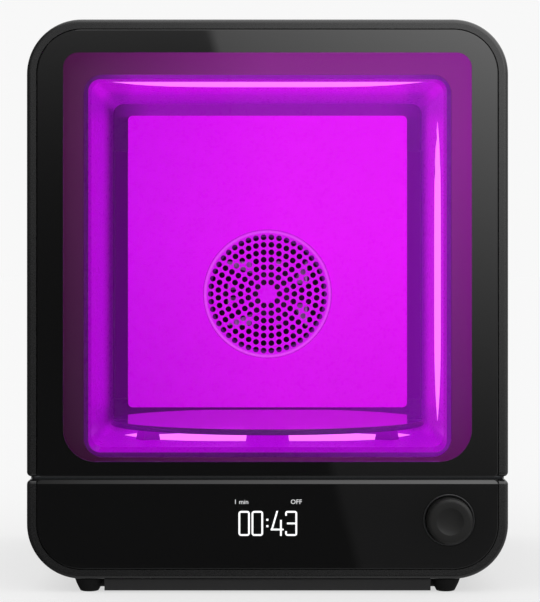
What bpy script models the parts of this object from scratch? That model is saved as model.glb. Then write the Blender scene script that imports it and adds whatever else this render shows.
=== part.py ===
"""UV curing lamp for resin prints: a cabinet with a glass door, a lit chamber and a control strip.

Metres, +Z up, the door faces -Y, and the feet stand on z = 0. The door swings about an upright axis at its
left edge, a motor under the chamber floor spins the glass turntable, and a push knob sits at the lower right.
"""

import math

import bmesh
import bpy
from mathutils import Matrix, Vector

# Overall shape
HALF_WIDTH = 0.1600
TOP = 0.3810
CORNER = 0.0365
FRONT = -0.1640
DOOR_BACK = -0.1400
DOOR_BOTTOM = 0.0771
CONTROL_TOP = 0.0749
CONTROL_BOTTOM = 0.0090
GAP = 0.0003

# Rim, glass and door window
RIM = 0.0063
GLASS_EDGE = 0.0069
GLASS = 0.0040
MASK = 0.0006
POCKET_FLOOR = FRONT + GLASS + MASK + 2 * GAP
EDGE_ROUND = 0.0030
FRONT_ROUND = 0.0022
WINDOW_HALF = 0.1357
WINDOW_LOW = 0.0870
WINDOW_HIGH = 0.3588
WINDOW_LOW_R = 0.0220
WINDOW_HIGH_R = 0.0100
INNER_HALF = 0.1403
INNER_LOW = 0.0838
INNER_HIGH = 0.3632
CHANNEL_LEFT = -0.1480
CHANNEL_WALL = 0.0033
CHANNEL_CORE = 0.1430
CHANNEL_CORE_TOP = 0.3660

# Casing
SHELL_HALF = 0.1595
SHELL_WALL = 0.0020
SHELL_FRONT = -0.1385
SHELL_BACK = 0.1735
SHELL_TOP = 0.3805
SHELL_LOW = 0.0095
SHELL_CORNER = 0.0360
SEAM = 0.0762
PLATE = 0.0015
REAR_PLATE_FRONT = 0.1715

# Chamber
CHAMBER_HALF = 0.1190
CHAMBER_FLOOR = 0.0945
CHAMBER_TOP = 0.3415
CHAMBER_BACK = 0.0980
SIDE_FLARE = 0.0020
TOP_FLARE = 0.0015
FLOOR_FLARE = 0.0034
FLARE_DEPTH = 0.0040
FLARE_LIP = 0.0029
MOUTH_HOLE_HALF = 0.1243
MOUTH_HOLE_LOW = 0.0878
MOUTH_HOLE_HIGH = 0.3463
LINER_WALL = 0.0010
REFLECTOR_FRONT = 0.0965
REFLECTOR_BACK = 0.0977
FAN_Z = 0.1948
GRILLE_R = 0.0495
LED_WINDOW = 0.0040
LED_BOARD = 0.0016

# Turntable
TABLE_Y = -0.0200
TABLE_R = 0.1130
TABLE_TOP = 0.1063
ARM_TOP = 0.1020
ARM_BOTTOM = 0.0985
LEG_BOTTOM = 0.0948
LEG_RADIUS = 0.0970
HUB_R = 0.0155
SPINDLE_R = 0.0035
ARM_ANGLES = (-30, 90, 210)

# Door hinge
HINGE_X = -0.1550
HINGE_Y = -0.1450
HINGE_CORNER_R = 0.0050
KNUCKLE_R = 0.0046
PIN_R = 0.00175
PIN_CLEARANCE = 0.0002
KNUCKLE_SPANS = {"lower": (0.100, 0.124), "upper": (0.316, 0.340)}

# Control strip
KNOB_X = 0.1205
KNOB_Z = 0.0484
KNOB_R = 0.0152
WELL_R = 0.01715
KNOB_FRONT = -0.1760

# Rear
EXHAUST_X = -0.0900
EXHAUST_Z = 0.3000
EXHAUST_BORE = 0.0285
INLET_X = 0.1150
SOCKET_Z = 0.0450
SWITCH_X = 0.0750
ROCKER_Y = 0.1705
ROCKER_TILT = 10
REAR_MOST = 0.1760
SCREW_SPOTS = {"left": (-0.145, 0.335), "right": (0.145, 0.335)}
FOOT_SPOTS = {
    "front_left": (-0.119, -0.152),
    "front_right": (0.119, -0.152),
    "rear_left": (-0.119, 0.150),
    "rear_right": (0.119, 0.150),
}

CORNER_STEPS = 6

FINISHES = {
    "black_satin": ((0.020, 0.020, 0.021), 0.34, 0.0),
    "clear_glass": ((0.50, 0.52, 0.53), 0.03, 0.0),
    "black_glass": ((0.006, 0.006, 0.006), 0.05, 0.0),
    "black_rubber": ((0.012, 0.012, 0.012), 0.80, 0.0),
    "dark_plastic": ((0.030, 0.030, 0.031), 0.50, 0.0),
    "white_liner": ((0.70, 0.66, 0.72), 0.45, 0.0),
    "reflector": ((0.80, 0.76, 0.82), 0.25, 0.6),
    "diffuser": ((0.90, 0.60, 0.95), 0.30, 0.0),
    "steel": ((0.55, 0.55, 0.56), 0.30, 1.0),
    "circuit_board": ((0.03, 0.16, 0.07), 0.45, 0.0),
    "grey_plastic": ((0.12, 0.12, 0.13), 0.50, 0.0),
    "aluminium": ((0.60, 0.61, 0.62), 0.35, 1.0),
}


def clear_scene():
    for old in list(bpy.data.objects):
        bpy.data.objects.remove(old, do_unlink=True)


def finish_of(name):
    """One Principled material for each finish in the table."""
    made = bpy.data.materials.get(name)
    if made:
        return made
    colour, roughness, metallic = FINISHES[name]
    made = bpy.data.materials.new(name)
    made.use_nodes = True
    shader = made.node_tree.nodes["Principled BSDF"]
    shader.inputs["Base Color"].default_value = (*colour, 1.0)
    shader.inputs["Roughness"].default_value = roughness
    shader.inputs["Metallic"].default_value = metallic
    return made


# Outlines


def arc(centre_u, centre_v, radius, start, end, steps):
    """Points on an arc, from the start angle to the end angle in degrees, both ends included."""
    points = []
    for index in range(steps + 1):
        angle = math.radians(start + (end - start) * index / steps)
        points.append((centre_u + radius * math.cos(angle), centre_v + radius * math.sin(angle)))
    return points


def circle(centre_u, centre_v, radius, steps=32):
    return arc(centre_u, centre_v, radius, 0, 360, steps)[:-1]


def rounded(left, right, low, high, low_r, high_r=None, steps=CORNER_STEPS):
    """A rectangle with round corners: one radius for its lower corners and one for its upper ones."""
    high_r = low_r if high_r is None else high_r
    points = arc(left + low_r, low + low_r, low_r, 180, 270, steps)
    points += arc(right - low_r, low + low_r, low_r, 270, 360, steps)
    points += arc(right - high_r, high - high_r, high_r, 0, 90, steps)
    points += arc(left + high_r, high - high_r, high_r, 90, 180, steps)
    return points


def centred(centre_u, centre_v, half_u, half_v, radius, steps=3):
    return rounded(
        centre_u - half_u, centre_u + half_u, centre_v - half_v, centre_v + half_v, radius, steps=steps
    )


def arch(left, right, foot, crown, radius, core_left, core_right, core_crown, core_radius):
    """An arch on two legs, or an upside-down one where the crown lies below the foot."""
    way = 1 if crown > foot else -1

    def bend(left_u, right_u, top_v, bend_r):
        points = arc(left_u + bend_r, top_v - bend_r, bend_r, 180, 90, CORNER_STEPS)
        points += arc(right_u - bend_r, top_v - bend_r, bend_r, 90, 0, CORNER_STEPS)
        return points

    outer = [(left, way * foot), *bend(left, right, way * crown, radius), (right, way * foot)]
    core = [
        (core_left, way * foot),
        *bend(core_left, core_right, way * core_crown, core_radius),
        (core_right, way * foot),
    ]
    return [(u, way * v) for u, v in outer + core[::-1]]


def bulge(start, end, level, height, steps=12):
    """The curved side of a light window: steep at both ends and nearly flat between them."""
    middle = (start + end) / 2
    points = []
    for index in range(steps + 1):
        along = -math.cos(math.pi * index / steps)
        points.append((middle + (end - middle) * along, level + height * (1 - abs(along) ** 4.5)))
    return points


def ring_slots(centre_u, centre_v, inner, outer, count, land):
    """Curved slots round a ring, with a land of this width between neighbours."""
    slots = []
    for index in range(count):
        middle = 360 * (index + 0.5) / count
        far = 180 / count - math.degrees(land / 2 / outer)
        near = 180 / count - math.degrees(land / 2 / inner)
        slot = arc(centre_u, centre_v, outer, middle - far, middle + far, 3)
        slot += arc(centre_u, centre_v, inner, middle + near, middle - near, 3)
        slots.append(slot)
    return slots


def turn_outline(points, centre_u, centre_v, degrees):
    """The same outline turned about a centre."""
    cosine = math.cos(math.radians(degrees))
    sine = math.sin(math.radians(degrees))
    return [(centre_u + u * cosine - v * sine, centre_v + u * sine + v * cosine) for u, v in points]


def box_outline(left, right, low, high):
    return [(left, low), (right, low), (right, high), (left, high)]


# Solids


def placed(axis, first, second, depth):
    """A point of an outline in space: the outline lies across the axis, at this depth along it."""
    return {
        "X": (depth, first, second),
        "Y": (first, depth, second),
        "Z": (first, second, depth),
    }[axis]


def node(name, mesh_tool, finish):
    """Turns a bmesh into a named object with smooth round faces and its finish."""
    bmesh.ops.recalc_face_normals(mesh_tool, faces=mesh_tool.faces)
    mesh = bpy.data.meshes.new(name)
    mesh_tool.to_mesh(mesh)
    mesh_tool.free()
    mesh.shade_smooth()
    mesh.set_sharp_from_angle(angle=math.radians(35))
    made = bpy.data.objects.new(name, mesh)
    bpy.context.scene.collection.objects.link(made)
    if finish:
        mesh.materials.append(finish_of(finish))
    return made


def prism(name, outlines, axis, start, end, finish=None, front_round=0.0):
    """A plate between two depths along an axis. The first outline is its edge and the others are its holes.

    front_round rounds the outer edge at the start depth.
    """
    mesh_tool = bmesh.new()
    edges = []
    rim = []
    for outline in outlines:
        ring = [mesh_tool.verts.new(placed(axis, u, v, start)) for u, v in outline]
        ring_edges = [mesh_tool.edges.new((ring[i - 1], ring[i])) for i in range(len(ring))]
        rim = rim or ring_edges
        edges += ring_edges
    bmesh.ops.triangle_fill(mesh_tool, edges=edges, use_beauty=True)
    grown = bmesh.ops.extrude_face_region(mesh_tool, geom=mesh_tool.faces[:], use_keep_orig=True)
    moved = [item for item in grown["geom"] if isinstance(item, bmesh.types.BMVert)]
    shift = Vector(placed(axis, 0, 0, end)) - Vector(placed(axis, 0, 0, start))
    bmesh.ops.translate(mesh_tool, verts=moved, vec=shift)
    if front_round:
        bmesh.ops.bevel(
            mesh_tool, geom=rim, offset=front_round, segments=3, profile=0.5, affect="EDGES"
        )
    return node(name, mesh_tool, finish)


def turned(name, profile, axis, centre, finish=None, steps=32):
    """A turned solid from a closed profile of (radius, depth) points, about an axis through the centre."""
    mesh_tool = bmesh.new()
    rings = []
    for radius, depth in profile:
        ring = []
        for index in range(steps if radius else 1):
            angle = 2 * math.pi * index / steps
            spot = placed(axis, radius * math.cos(angle), radius * math.sin(angle), depth)
            ring.append(mesh_tool.verts.new(Vector(spot) + Vector(centre)))
        rings.append(ring)
    for index, ring in enumerate(rings):
        last = rings[index - 1]
        for step in range(steps):
            following = (step + 1) % steps
            corners = [last[step % len(last)], last[following % len(last)]]
            corners += [ring[following % len(ring)], ring[step % len(ring)]]
            corners = list(dict.fromkeys(corners))
            if len(corners) > 2:
                mesh_tool.faces.new(corners)
    return node(name, mesh_tool, finish)


def boolean(target, tool, operation):
    """Cuts a helper solid from a piece, or joins it to the piece, and hides the helper."""
    step = target.modifiers.new(tool.name, "BOOLEAN")
    step.object = tool
    step.operation = operation
    step.solver = "EXACT"
    tool.hide_render = True
    tool.display_type = "WIRE"


def cut(target, *tools):
    for tool in tools:
        boolean(target, tool, "DIFFERENCE")


def join(target, *tools):
    for tool in tools:
        boolean(target, tool, "UNION")


def carry(name, place, pieces, parent=None):
    """An empty on a joint's axis that holds the pieces which move together about it or along it."""
    holder = bpy.data.objects.new(name, None)
    holder.location = place
    bpy.context.scene.collection.objects.link(holder)
    for piece in pieces:
        piece.parent = holder
        piece.matrix_parent_inverse = Matrix.Translation(-Vector(place))
    if parent:
        holder.parent = parent
        holder.matrix_parent_inverse = Matrix.Translation(-parent.matrix_world.translation)
    return holder


# Door


def door_outline(inset):
    """The door's edge, set in on every side but the bottom, where the glass runs out."""
    return rounded(
        -HALF_WIDTH + inset, HALF_WIDTH - inset, DOOR_BOTTOM, TOP - inset, EDGE_ROUND, CORNER - inset
    )


def door_channel(gap):
    """The hollow in the back of the door frame: an arch that leaves the hinge side solid."""
    wall = CHANNEL_WALL + gap
    core = CHANNEL_CORE - gap
    return arch(
        CHANNEL_LEFT + gap,
        HALF_WIDTH - wall,
        DOOR_BOTTOM + wall,
        TOP - wall,
        CORNER - wall,
        -core - 2 * gap,
        core + 2 * gap,
        CHANNEL_CORE_TOP + gap,
        0.012,
    )


def make_door_frame():
    inner = rounded(-INNER_HALF, INNER_HALF, INNER_LOW, INNER_HIGH, 0.020, 0.010)
    frame = prism(
        "door_frame", [door_outline(0), inner], "Y", FRONT, DOOR_BACK, "black_satin", FRONT_ROUND
    )
    pocket_edge = rounded(
        -HALF_WIDTH + RIM, HALF_WIDTH - RIM, DOOR_BOTTOM - 0.02, TOP - RIM, EDGE_ROUND, CORNER - RIM
    )
    beyond_x = HINGE_X - 0.007
    beyond_y = DOOR_BACK + 0.002
    corner = [(HINGE_X, beyond_y), (beyond_x, beyond_y), (beyond_x, HINGE_Y)]
    corner += arc(HINGE_X, HINGE_Y, HINGE_CORNER_R, 180, 90, 6)
    cut(
        frame,
        prism("door_pocket_cut", [pocket_edge], "Y", FRONT - 0.005, POCKET_FLOOR),
        prism("door_channel_cut", [door_channel(0)], "Y", -0.1556, DOOR_BACK + 0.005),
        prism("door_corner_cut", [corner], "Z", DOOR_BOTTOM - 0.01, TOP + 0.01),
    )
    for place, (low, high) in KNUCKLE_SPANS.items():
        reach = KNUCKLE_R + 2 * GAP
        notch = box_outline(HINGE_X - 0.010, HINGE_X + reach, HINGE_Y - reach, HINGE_Y + 0.010)
        hole = circle(HINGE_X, HINGE_Y, PIN_R + PIN_CLEARANCE, 24)
        cut(
            frame,
            prism(f"door_notch_cut_{place}", [notch], "Z", low - 0.0005, high + 0.0005),
            prism(f"door_pin_cut_{place}", [hole], "Z", low - 0.0090, high + 0.0090),
        )
    return frame


def make_door():
    """Frame, glass, black mask behind it, back cover of the channel, inner pane, seal and magnet."""
    window = rounded(-WINDOW_HALF, WINDOW_HALF, WINDOW_LOW, WINDOW_HIGH, WINDOW_LOW_R, WINDOW_HIGH_R)
    mask_front = FRONT + GLASS + GAP
    pane = rounded(
        -INNER_HALF + GAP, INNER_HALF - GAP, INNER_LOW + GAP, INNER_HIGH - GAP, 0.0197, 0.0097
    )
    seal = rounded(-0.1470, 0.1470, 0.0793, 0.3712, 0.020, 0.014)
    seal_hole = rounded(-0.1445, 0.1445, 0.0818, 0.3687, 0.0175, 0.0115)
    glass_edge = door_outline(GLASS_EDGE)
    pieces = [
        make_door_frame(),
        prism("door_glass", [glass_edge], "Y", FRONT, FRONT + GLASS, "clear_glass"),
        prism("door_mask", [glass_edge, window], "Y", mask_front, mask_front + MASK, "black_glass"),
        prism("door_liner", [door_channel(GAP)], "Y", DOOR_BACK - 0.003, DOOR_BACK, "dark_plastic"),
        prism("door_inner_pane", [pane], "Y", -0.1440, -0.1415, "clear_glass"),
        prism("door_gasket", [seal, seal_hole], "Y", DOOR_BACK + GAP, SHELL_FRONT - GAP, "black_rubber"),
    ]
    magnet = centred(0.1500, 0.225, 0.0035, 0.060, 0.0008)
    pieces.append(prism("door_magnet", [magnet], "Y", -0.1550, -0.1434, "steel"))
    carry("door_axis", (HINGE_X, HINGE_Y, 0), pieces)


def make_hinges():
    for place, (low, high) in KNUCKLE_SPANS.items():
        bore = PIN_R + PIN_CLEARANCE
        profile = [(bore, low), (KNUCKLE_R, low), (KNUCKLE_R, high), (bore, high)]
        bracket = turned(f"hinge_bracket_{place}", profile, "Z", (HINGE_X, HINGE_Y, 0), "steel", 24)
        plate_front = SHELL_FRONT + PLATE + GAP
        leaf = [
            (-0.1568, HINGE_Y + 0.0030),
            (-0.1532, HINGE_Y + 0.0030),
            (-0.1532, plate_front),
            (-0.1400, plate_front),
            (-0.1400, plate_front + 0.002),
            (-0.1568, plate_front + 0.002),
        ]
        join(bracket, prism(f"hinge_leaf_{place}", [leaf], "Z", low, high))
        pin = circle(HINGE_X, HINGE_Y, PIN_R, 24)
        prism(f"hinge_pin_{place}", [pin], "Z", low - 0.008, high + 0.008, "steel")


# Casing


def make_casing():
    inner = SHELL_HALF - SHELL_WALL
    inner_r = SHELL_CORNER - SHELL_WALL
    for name, seam, crown, way in (
        ("upper_cover", SEAM + GAP, SHELL_TOP, -1),
        ("base_housing", SEAM - GAP, SHELL_LOW, 1),
    ):
        inner_crown = crown + way * SHELL_WALL
        outer_side = (-SHELL_HALF, SHELL_HALF, seam, crown, SHELL_CORNER)
        section = arch(*outer_side, -inner, inner, inner_crown, inner_r)
        prism(name, [section], "Y", SHELL_FRONT, SHELL_BACK, "dark_plastic")
    deck = box_outline(-inner + GAP, inner - GAP, SHELL_FRONT + PLATE + GAP, REAR_PLATE_FRONT - GAP)
    prism("deck_plate", [deck], "Z", 0.0755, 0.0767, "steel")


def make_front_bulkhead():
    """The steel plate round the chamber's mouth, with a slot at the left for each hinge bracket."""
    inner = SHELL_HALF - SHELL_WALL - GAP
    inner_top = SHELL_TOP - SHELL_WALL - GAP
    edge = rounded(-inner, inner, 0.0775, inner_top, EDGE_ROUND, SHELL_CORNER - SHELL_WALL)
    hole = box_outline(-MOUTH_HOLE_HALF, MOUTH_HOLE_HALF, MOUTH_HOLE_LOW, MOUTH_HOLE_HIGH)
    plate = prism("front_bulkhead", [edge, hole], "Y", SHELL_FRONT, SHELL_FRONT + PLATE, "steel")
    for place, (low, high) in KNUCKLE_SPANS.items():
        slot = box_outline(-0.1650, -0.1527, low - 0.0005, high + 0.0005)
        cut(plate, prism(f"hinge_slot_cut_{place}", [slot], "Y", SHELL_FRONT - 0.003, SHELL_FRONT + 0.004))


def make_rear():
    """Rear cover with its openings, exhaust guard, mains socket and the two screws."""
    inner = SHELL_HALF - SHELL_WALL - GAP
    inner_low = SHELL_LOW + SHELL_WALL + GAP
    inner_top = SHELL_TOP - SHELL_WALL - GAP
    outlines = [rounded(-inner, inner, inner_low, inner_top, SHELL_CORNER - SHELL_WALL)]
    outlines.append(circle(EXHAUST_X, EXHAUST_Z, EXHAUST_BORE, 32))
    outlines.append(centred(INLET_X, SOCKET_Z, 0.0139, 0.0102, 0.003))
    outlines.append(centred(SWITCH_X, SOCKET_Z, 0.0079, 0.0100, 0.001))
    outlines += [circle(x, z, 0.0018, 12) for x, z in SCREW_SPOTS.values()]
    outlines += [centred(-0.115 + 0.011 * index, 0.045, 0.0022, 0.014, 0.0022) for index in range(7)]
    prism("rear_cover", outlines, "Y", REAR_PLATE_FRONT, SHELL_BACK, "dark_plastic")
    for name, (x, z) in SCREW_SPOTS.items():
        profile = [(0, 0.1655), (0.0014, 0.1655), (0.0014, SHELL_BACK + GAP)]
        profile += [(0.0033, SHELL_BACK + GAP), (0.0033, 0.1747), (0.0024, 0.1755), (0, 0.1755)]
        turned(f"rear_screw_{name}", profile, "Y", (x, 0, z), "steel", 16)
    guard = [centred(EXHAUST_X, EXHAUST_Z, 0.0330, 0.0330, 0.006, 4)]
    guard += ring_slots(EXHAUST_X, EXHAUST_Z, 0.0105, 0.0175, 4, 0.003)
    guard += ring_slots(EXHAUST_X, EXHAUST_Z, 0.0200, 0.0275, 6, 0.003)
    prism("exhaust_guard", guard, "Y", SHELL_BACK + GAP, REAR_MOST, "dark_plastic")
    flange = centred(INLET_X, SOCKET_Z, 0.0165, 0.0130, 0.003)
    body = centred(INLET_X, SOCKET_Z, 0.0135, 0.0098, 0.003)
    socket = centred(INLET_X, SOCKET_Z, 0.0120, 0.0083, 0.003)
    inlet = prism("power_inlet", [flange], "Y", SHELL_BACK + GAP, 0.1755, "dark_plastic")
    join(inlet, prism("inlet_body", [body], "Y", 0.1500, 0.1745))
    cut(inlet, prism("inlet_socket_cut", [socket], "Y", 0.1560, 0.1800))


def make_power_switch():
    """A switch body with a recess, and a rocker that tips about a pin across the recess."""
    flange = centred(SWITCH_X, SOCKET_Z, 0.0098, 0.0120, 0.001)
    body = centred(SWITCH_X, SOCKET_Z, 0.0076, 0.0097, 0.001)
    recess = centred(SWITCH_X, SOCKET_Z, 0.0056, 0.0069, 0.0005)
    housing = prism("power_switch_housing", [flange], "Y", SHELL_BACK + GAP, 0.1750, "dark_plastic")
    join(housing, prism("switch_body", [body], "Y", 0.1560, 0.1745))
    cut(housing, prism("switch_recess_cut", [recess], "Y", 0.1663, 0.1800))
    face = [(-0.0020, -0.0050), (0.0036, -0.0055), (0.0028, 0.0), (0.0036, 0.0055), (-0.0020, 0.0050)]
    tilted = turn_outline(face, ROCKER_Y, SOCKET_Z, -ROCKER_TILT)
    rocker = prism("power_rocker", [tilted], "X", SWITCH_X - 0.0052, SWITCH_X + 0.0052, "grey_plastic")
    carry("rocker_axis", (SWITCH_X, ROCKER_Y, SOCKET_Z), [rocker])


def make_feet_and_pan():
    foot_top = CONTROL_BOTTOM - GAP
    profile = [(0, 0), (0.0058, 0), (0.0065, 0.0008)]
    profile += [(0.00975, foot_top - 0.0012), (0.00975, foot_top), (0, foot_top)]
    for place, (x, y) in FOOT_SPOTS.items():
        turned(f"foot_{place}", profile, "Z", (x, y, 0), "black_rubber", 24)

    def plan(inset):
        """A tray's outline, stepped in at its four corners to clear the feet."""
        wide, narrow = 0.1250 - inset, 0.1085 - inset
        front, back = -0.1610 + inset, 0.1590 - inset
        front_step, back_step = -0.1405 + inset, 0.1385 - inset
        half = [(narrow, front), (narrow, front_step), (wide, front_step)]
        half += [(wide, back_step), (narrow, back_step), (narrow, back)]
        return half + [(-x, y) for x, y in half[::-1]]

    pan = prism("bottom_pan", [plan(0)], "Z", 0.0012, foot_top, "dark_plastic")
    cut(pan, prism("pan_hollow_cut", [plan(0.0015)], "Z", 0.0030, foot_top + 0.005))


# Chamber


def flared_edge(flare, face, way):
    """A wall plate's section in y and distance: flat behind, with a front edge that flares outwards."""
    lip_back = SHELL_FRONT + 0.0012
    profile = [
        (CHAMBER_BACK + LINER_WALL, 0),
        (SHELL_FRONT + FLARE_DEPTH, 0),
        (SHELL_FRONT, flare),
        (SHELL_FRONT, flare + FLARE_LIP),
        (lip_back, flare + FLARE_LIP),
        (lip_back, flare + LINER_WALL),
        (SHELL_FRONT + FLARE_DEPTH, LINER_WALL),
        (CHAMBER_BACK + LINER_WALL, LINER_WALL),
    ]
    return [(y, face + way * outwards) for y, outwards in profile]


def top_window(grow):
    return bulge(-0.1050 - grow, 0.1050 + grow, -0.1325 - grow, 0.0485 + 2 * grow)


def right_window(grow):
    low, high = 0.1084 - grow, 0.3177 + grow
    near = bulge(low, high, -0.0760, -0.0320 - grow)
    far = bulge(low, high, -0.0760, 0.0320 + grow)
    return [(y, z) for z, y in near + far[-2:0:-1]]


def floor_window(way, grow):
    """One of the two floor windows: straight beside the spindle and narrowing to its outer end."""
    inner, outer, half = 0.0155 - grow, 0.1030 + grow, 0.0590 + grow
    front_side = []
    back_side = []
    for index in range(10):
        x = inner + (outer - inner) * math.sin(math.pi * index / 18)
        across = half * (1 - (x / outer) ** 4.5)
        front_side.append((way * x, TABLE_Y - across))
        back_side.append((way * x, TABLE_Y + across))
    return front_side + back_side[-2::-1]


def make_chamber_walls():
    """Five plates round the chamber, open for the light windows, the fan and the turntable's spindle."""
    slot_gap = 0.0004
    low, high = MOUTH_HOLE_LOW + 2 * GAP, MOUTH_HOLE_HIGH - 2 * GAP
    for side, way in (("left", -1), ("right", 1)):
        section = [(x, y) for y, x in flared_edge(SIDE_FLARE, way * CHAMBER_HALF, way)]
        wall = prism(f"chamber_{side}_wall", [section], "Z", low, high, "white_liner")
        if side == "right":
            slot = [right_window(slot_gap)]
            cut(wall, prism("right_slot_cut", slot, "X", CHAMBER_HALF - 0.005, CHAMBER_HALF + 0.010))
    half = CHAMBER_HALF - GAP
    ceiling_section = flared_edge(TOP_FLARE, CHAMBER_TOP, 1)
    ceiling = prism("chamber_ceiling", [ceiling_section], "X", -half, half, "white_liner")
    slot = [top_window(slot_gap)]
    cut(ceiling, prism("top_slot_cut", slot, "Z", CHAMBER_TOP - 0.005, CHAMBER_TOP + 0.010))
    floor_section = flared_edge(FLOOR_FLARE, CHAMBER_FLOOR, -1)
    floor = prism("chamber_floor", [floor_section], "X", -half, half, "white_liner")
    below, above = CHAMBER_FLOOR - 0.010, CHAMBER_FLOOR + 0.005
    cut(
        floor,
        prism("spindle_hole_cut", [circle(0, TABLE_Y, 0.0050, 20)], "Z", below, above),
        prism("floor_slot_cut_left", [floor_window(-1, slot_gap)], "Z", below, above),
        prism("floor_slot_cut_right", [floor_window(1, slot_gap)], "Z", below, above),
    )
    panel = box_outline(-half, half, CHAMBER_FLOOR + GAP, CHAMBER_TOP - GAP)
    fan_hole = circle(0, FAN_Z, 0.0440, 40)
    back = CHAMBER_BACK + LINER_WALL
    prism("chamber_back_wall", [panel, fan_hole], "Y", CHAMBER_BACK, back, "white_liner")


def make_lights():
    """Light windows flush with three walls, a board behind each, and a light column in each rear corner."""
    above = CHAMBER_TOP + LED_WINDOW
    beside = CHAMBER_HALF + LED_WINDOW
    prism("led_window_top", [top_window(0)], "Z", CHAMBER_TOP, above, "diffuser")
    prism("led_window_right", [right_window(0)], "X", CHAMBER_HALF, beside, "diffuser")
    under = CHAMBER_FLOOR - LINER_WALL - GAP
    below = under - 0.0020
    spindle_hole = circle(0, TABLE_Y, 0.0050, 20)
    panel = box_outline(-0.1060, 0.1060, TABLE_Y - 0.0620, TABLE_Y + 0.0620)
    bottom = prism("led_window_bottom", [panel, spindle_hole], "Z", below, under, "diffuser")
    for side, way in (("left", -1), ("right", 1)):
        island = [floor_window(way, 0)]
        join(bottom, prism(f"floor_window_{side}", island, "Z", under - 0.001, CHAMBER_FLOOR))
    board_top = centred(0, -0.1085, 0.100, 0.018, 0.002)
    board_right = centred(-0.0760, 0.2130, 0.026, 0.098, 0.002)
    board_bottom = centred(0, TABLE_Y, 0.098, 0.050, 0.002)
    boards = (
        ("led_board_top", [board_top], "Z", above + GAP, 1),
        ("led_board_right", [board_right], "X", beside + GAP, 1),
        ("led_board_bottom", [board_bottom, spindle_hole], "Z", below - GAP, -1),
    )
    for name, outlines, axis, face, way in boards:
        prism(name, outlines, axis, face, face + way * LED_BOARD, "circuit_board")
    for side, way in (("left", -1), ("right", 1)):
        corner = [(0.1186, 0.0850), (0.1186, REFLECTOR_BACK), (0.1080, REFLECTOR_BACK), (0.1080, 0.0945)]
        prism(f"led_column_{side}", [[(way * x, y) for x, y in corner]], "Z", 0.1145, 0.3046, "diffuser")


def make_back_wall():
    panel = rounded(-0.1076, 0.1076, 0.1073, 0.3324, 0.0035, steps=4)
    hole = circle(0, FAN_Z, GRILLE_R + GAP, 48)
    prism("back_reflector", [panel, hole], "Y", REFLECTOR_FRONT, REFLECTOR_BACK, "reflector")
    outlines = [circle(0, FAN_Z, GRILLE_R, 48)]
    for inner, outer, count in ((0.0120, 0.0190, 4), (0.0230, 0.0300, 6), (0.0340, 0.0415, 8)):
        outlines += ring_slots(0, FAN_Z, inner, outer, count, 0.0022)
    prism("fan_grille", outlines, "Y", REFLECTOR_FRONT - 0.0006, REFLECTOR_BACK, "reflector")


# Fans and heat


def rotor_outline(x, z, hub, tip, blades, blade_half):
    """A hub with straight blades, as one outline."""
    points = []
    for index in range(blades):
        middle = 360 * index / blades
        half_root = math.degrees(math.asin(blade_half / hub))
        half_tip = math.degrees(math.asin(blade_half / tip))
        spacing = 360 / blades
        points += arc(x, z, tip, middle - half_tip, middle + half_tip, 2)
        points += arc(x, z, hub, middle + half_root, middle + spacing - half_root, 3)
    return points


def make_fan(label, x, z, half, bore, hub, front, back, joint_name):
    """A square fan frame with a motor mount on four arms at its back, and a bladed rotor in front of it."""
    edges = [centred(x, z, half, half, 0.004), circle(x, z, bore, 40)]
    frame = prism(f"{label}_housing", edges, "Y", front, back, "dark_plastic")
    mount_front = back - 0.003
    bar_back = back - 0.0002
    join(
        frame,
        prism(f"{label}_bar_x", [centred(x, z, bore + 0.001, 0.003, 0.0005)], "Y", mount_front, bar_back),
        prism(f"{label}_bar_z", [centred(x, z, 0.003, bore + 0.001, 0.0005)], "Y", mount_front, bar_back),
        prism(f"{label}_mount", [circle(x, z, hub, 24)], "Y", mount_front, back),
    )
    outline = rotor_outline(x, z, hub, bore - 0.002, 7, 0.0014)
    rotor = prism(f"{label}_rotor", [outline], "Y", front + 0.002, mount_front - 0.001, "dark_plastic")
    carry(joint_name, (x, 0, z), [rotor])


def make_air():
    fan_front = CHAMBER_BACK + LINER_WALL + GAP
    fan_back = fan_front + 0.025
    make_fan("circulation_fan", 0, FAN_Z, 0.046, 0.0445, 0.018, fan_front, fan_back, "circulation_fan_axis")
    rear = REAR_PLATE_FRONT - GAP
    exhaust_place = (EXHAUST_X, EXHAUST_Z, 0.030, EXHAUST_BORE, 0.011, rear - 0.015, rear)
    make_fan("exhaust_fan", *exhaust_place, "exhaust_fan_axis")
    fins = []
    fin_count, pitch, half_fin = 12, 0.0055, 0.0009
    start = -pitch * (fin_count - 1) / 2
    back = fan_back + 0.0150
    for index in range(fin_count):
        middle = start + pitch * index
        tips = [(middle - half_fin, fan_back + GAP), (middle + half_fin, fan_back + GAP)]
        fins += [(tips[0][0], back - 0.003), *tips, (tips[1][0], back - 0.003)]
    comb = fins + [(-start + half_fin, back), (start - half_fin, back)]
    prism("heater_element", [comb], "Z", FAN_Z - 0.025, FAN_Z + 0.025, "aluminium")


# Turntable


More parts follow.
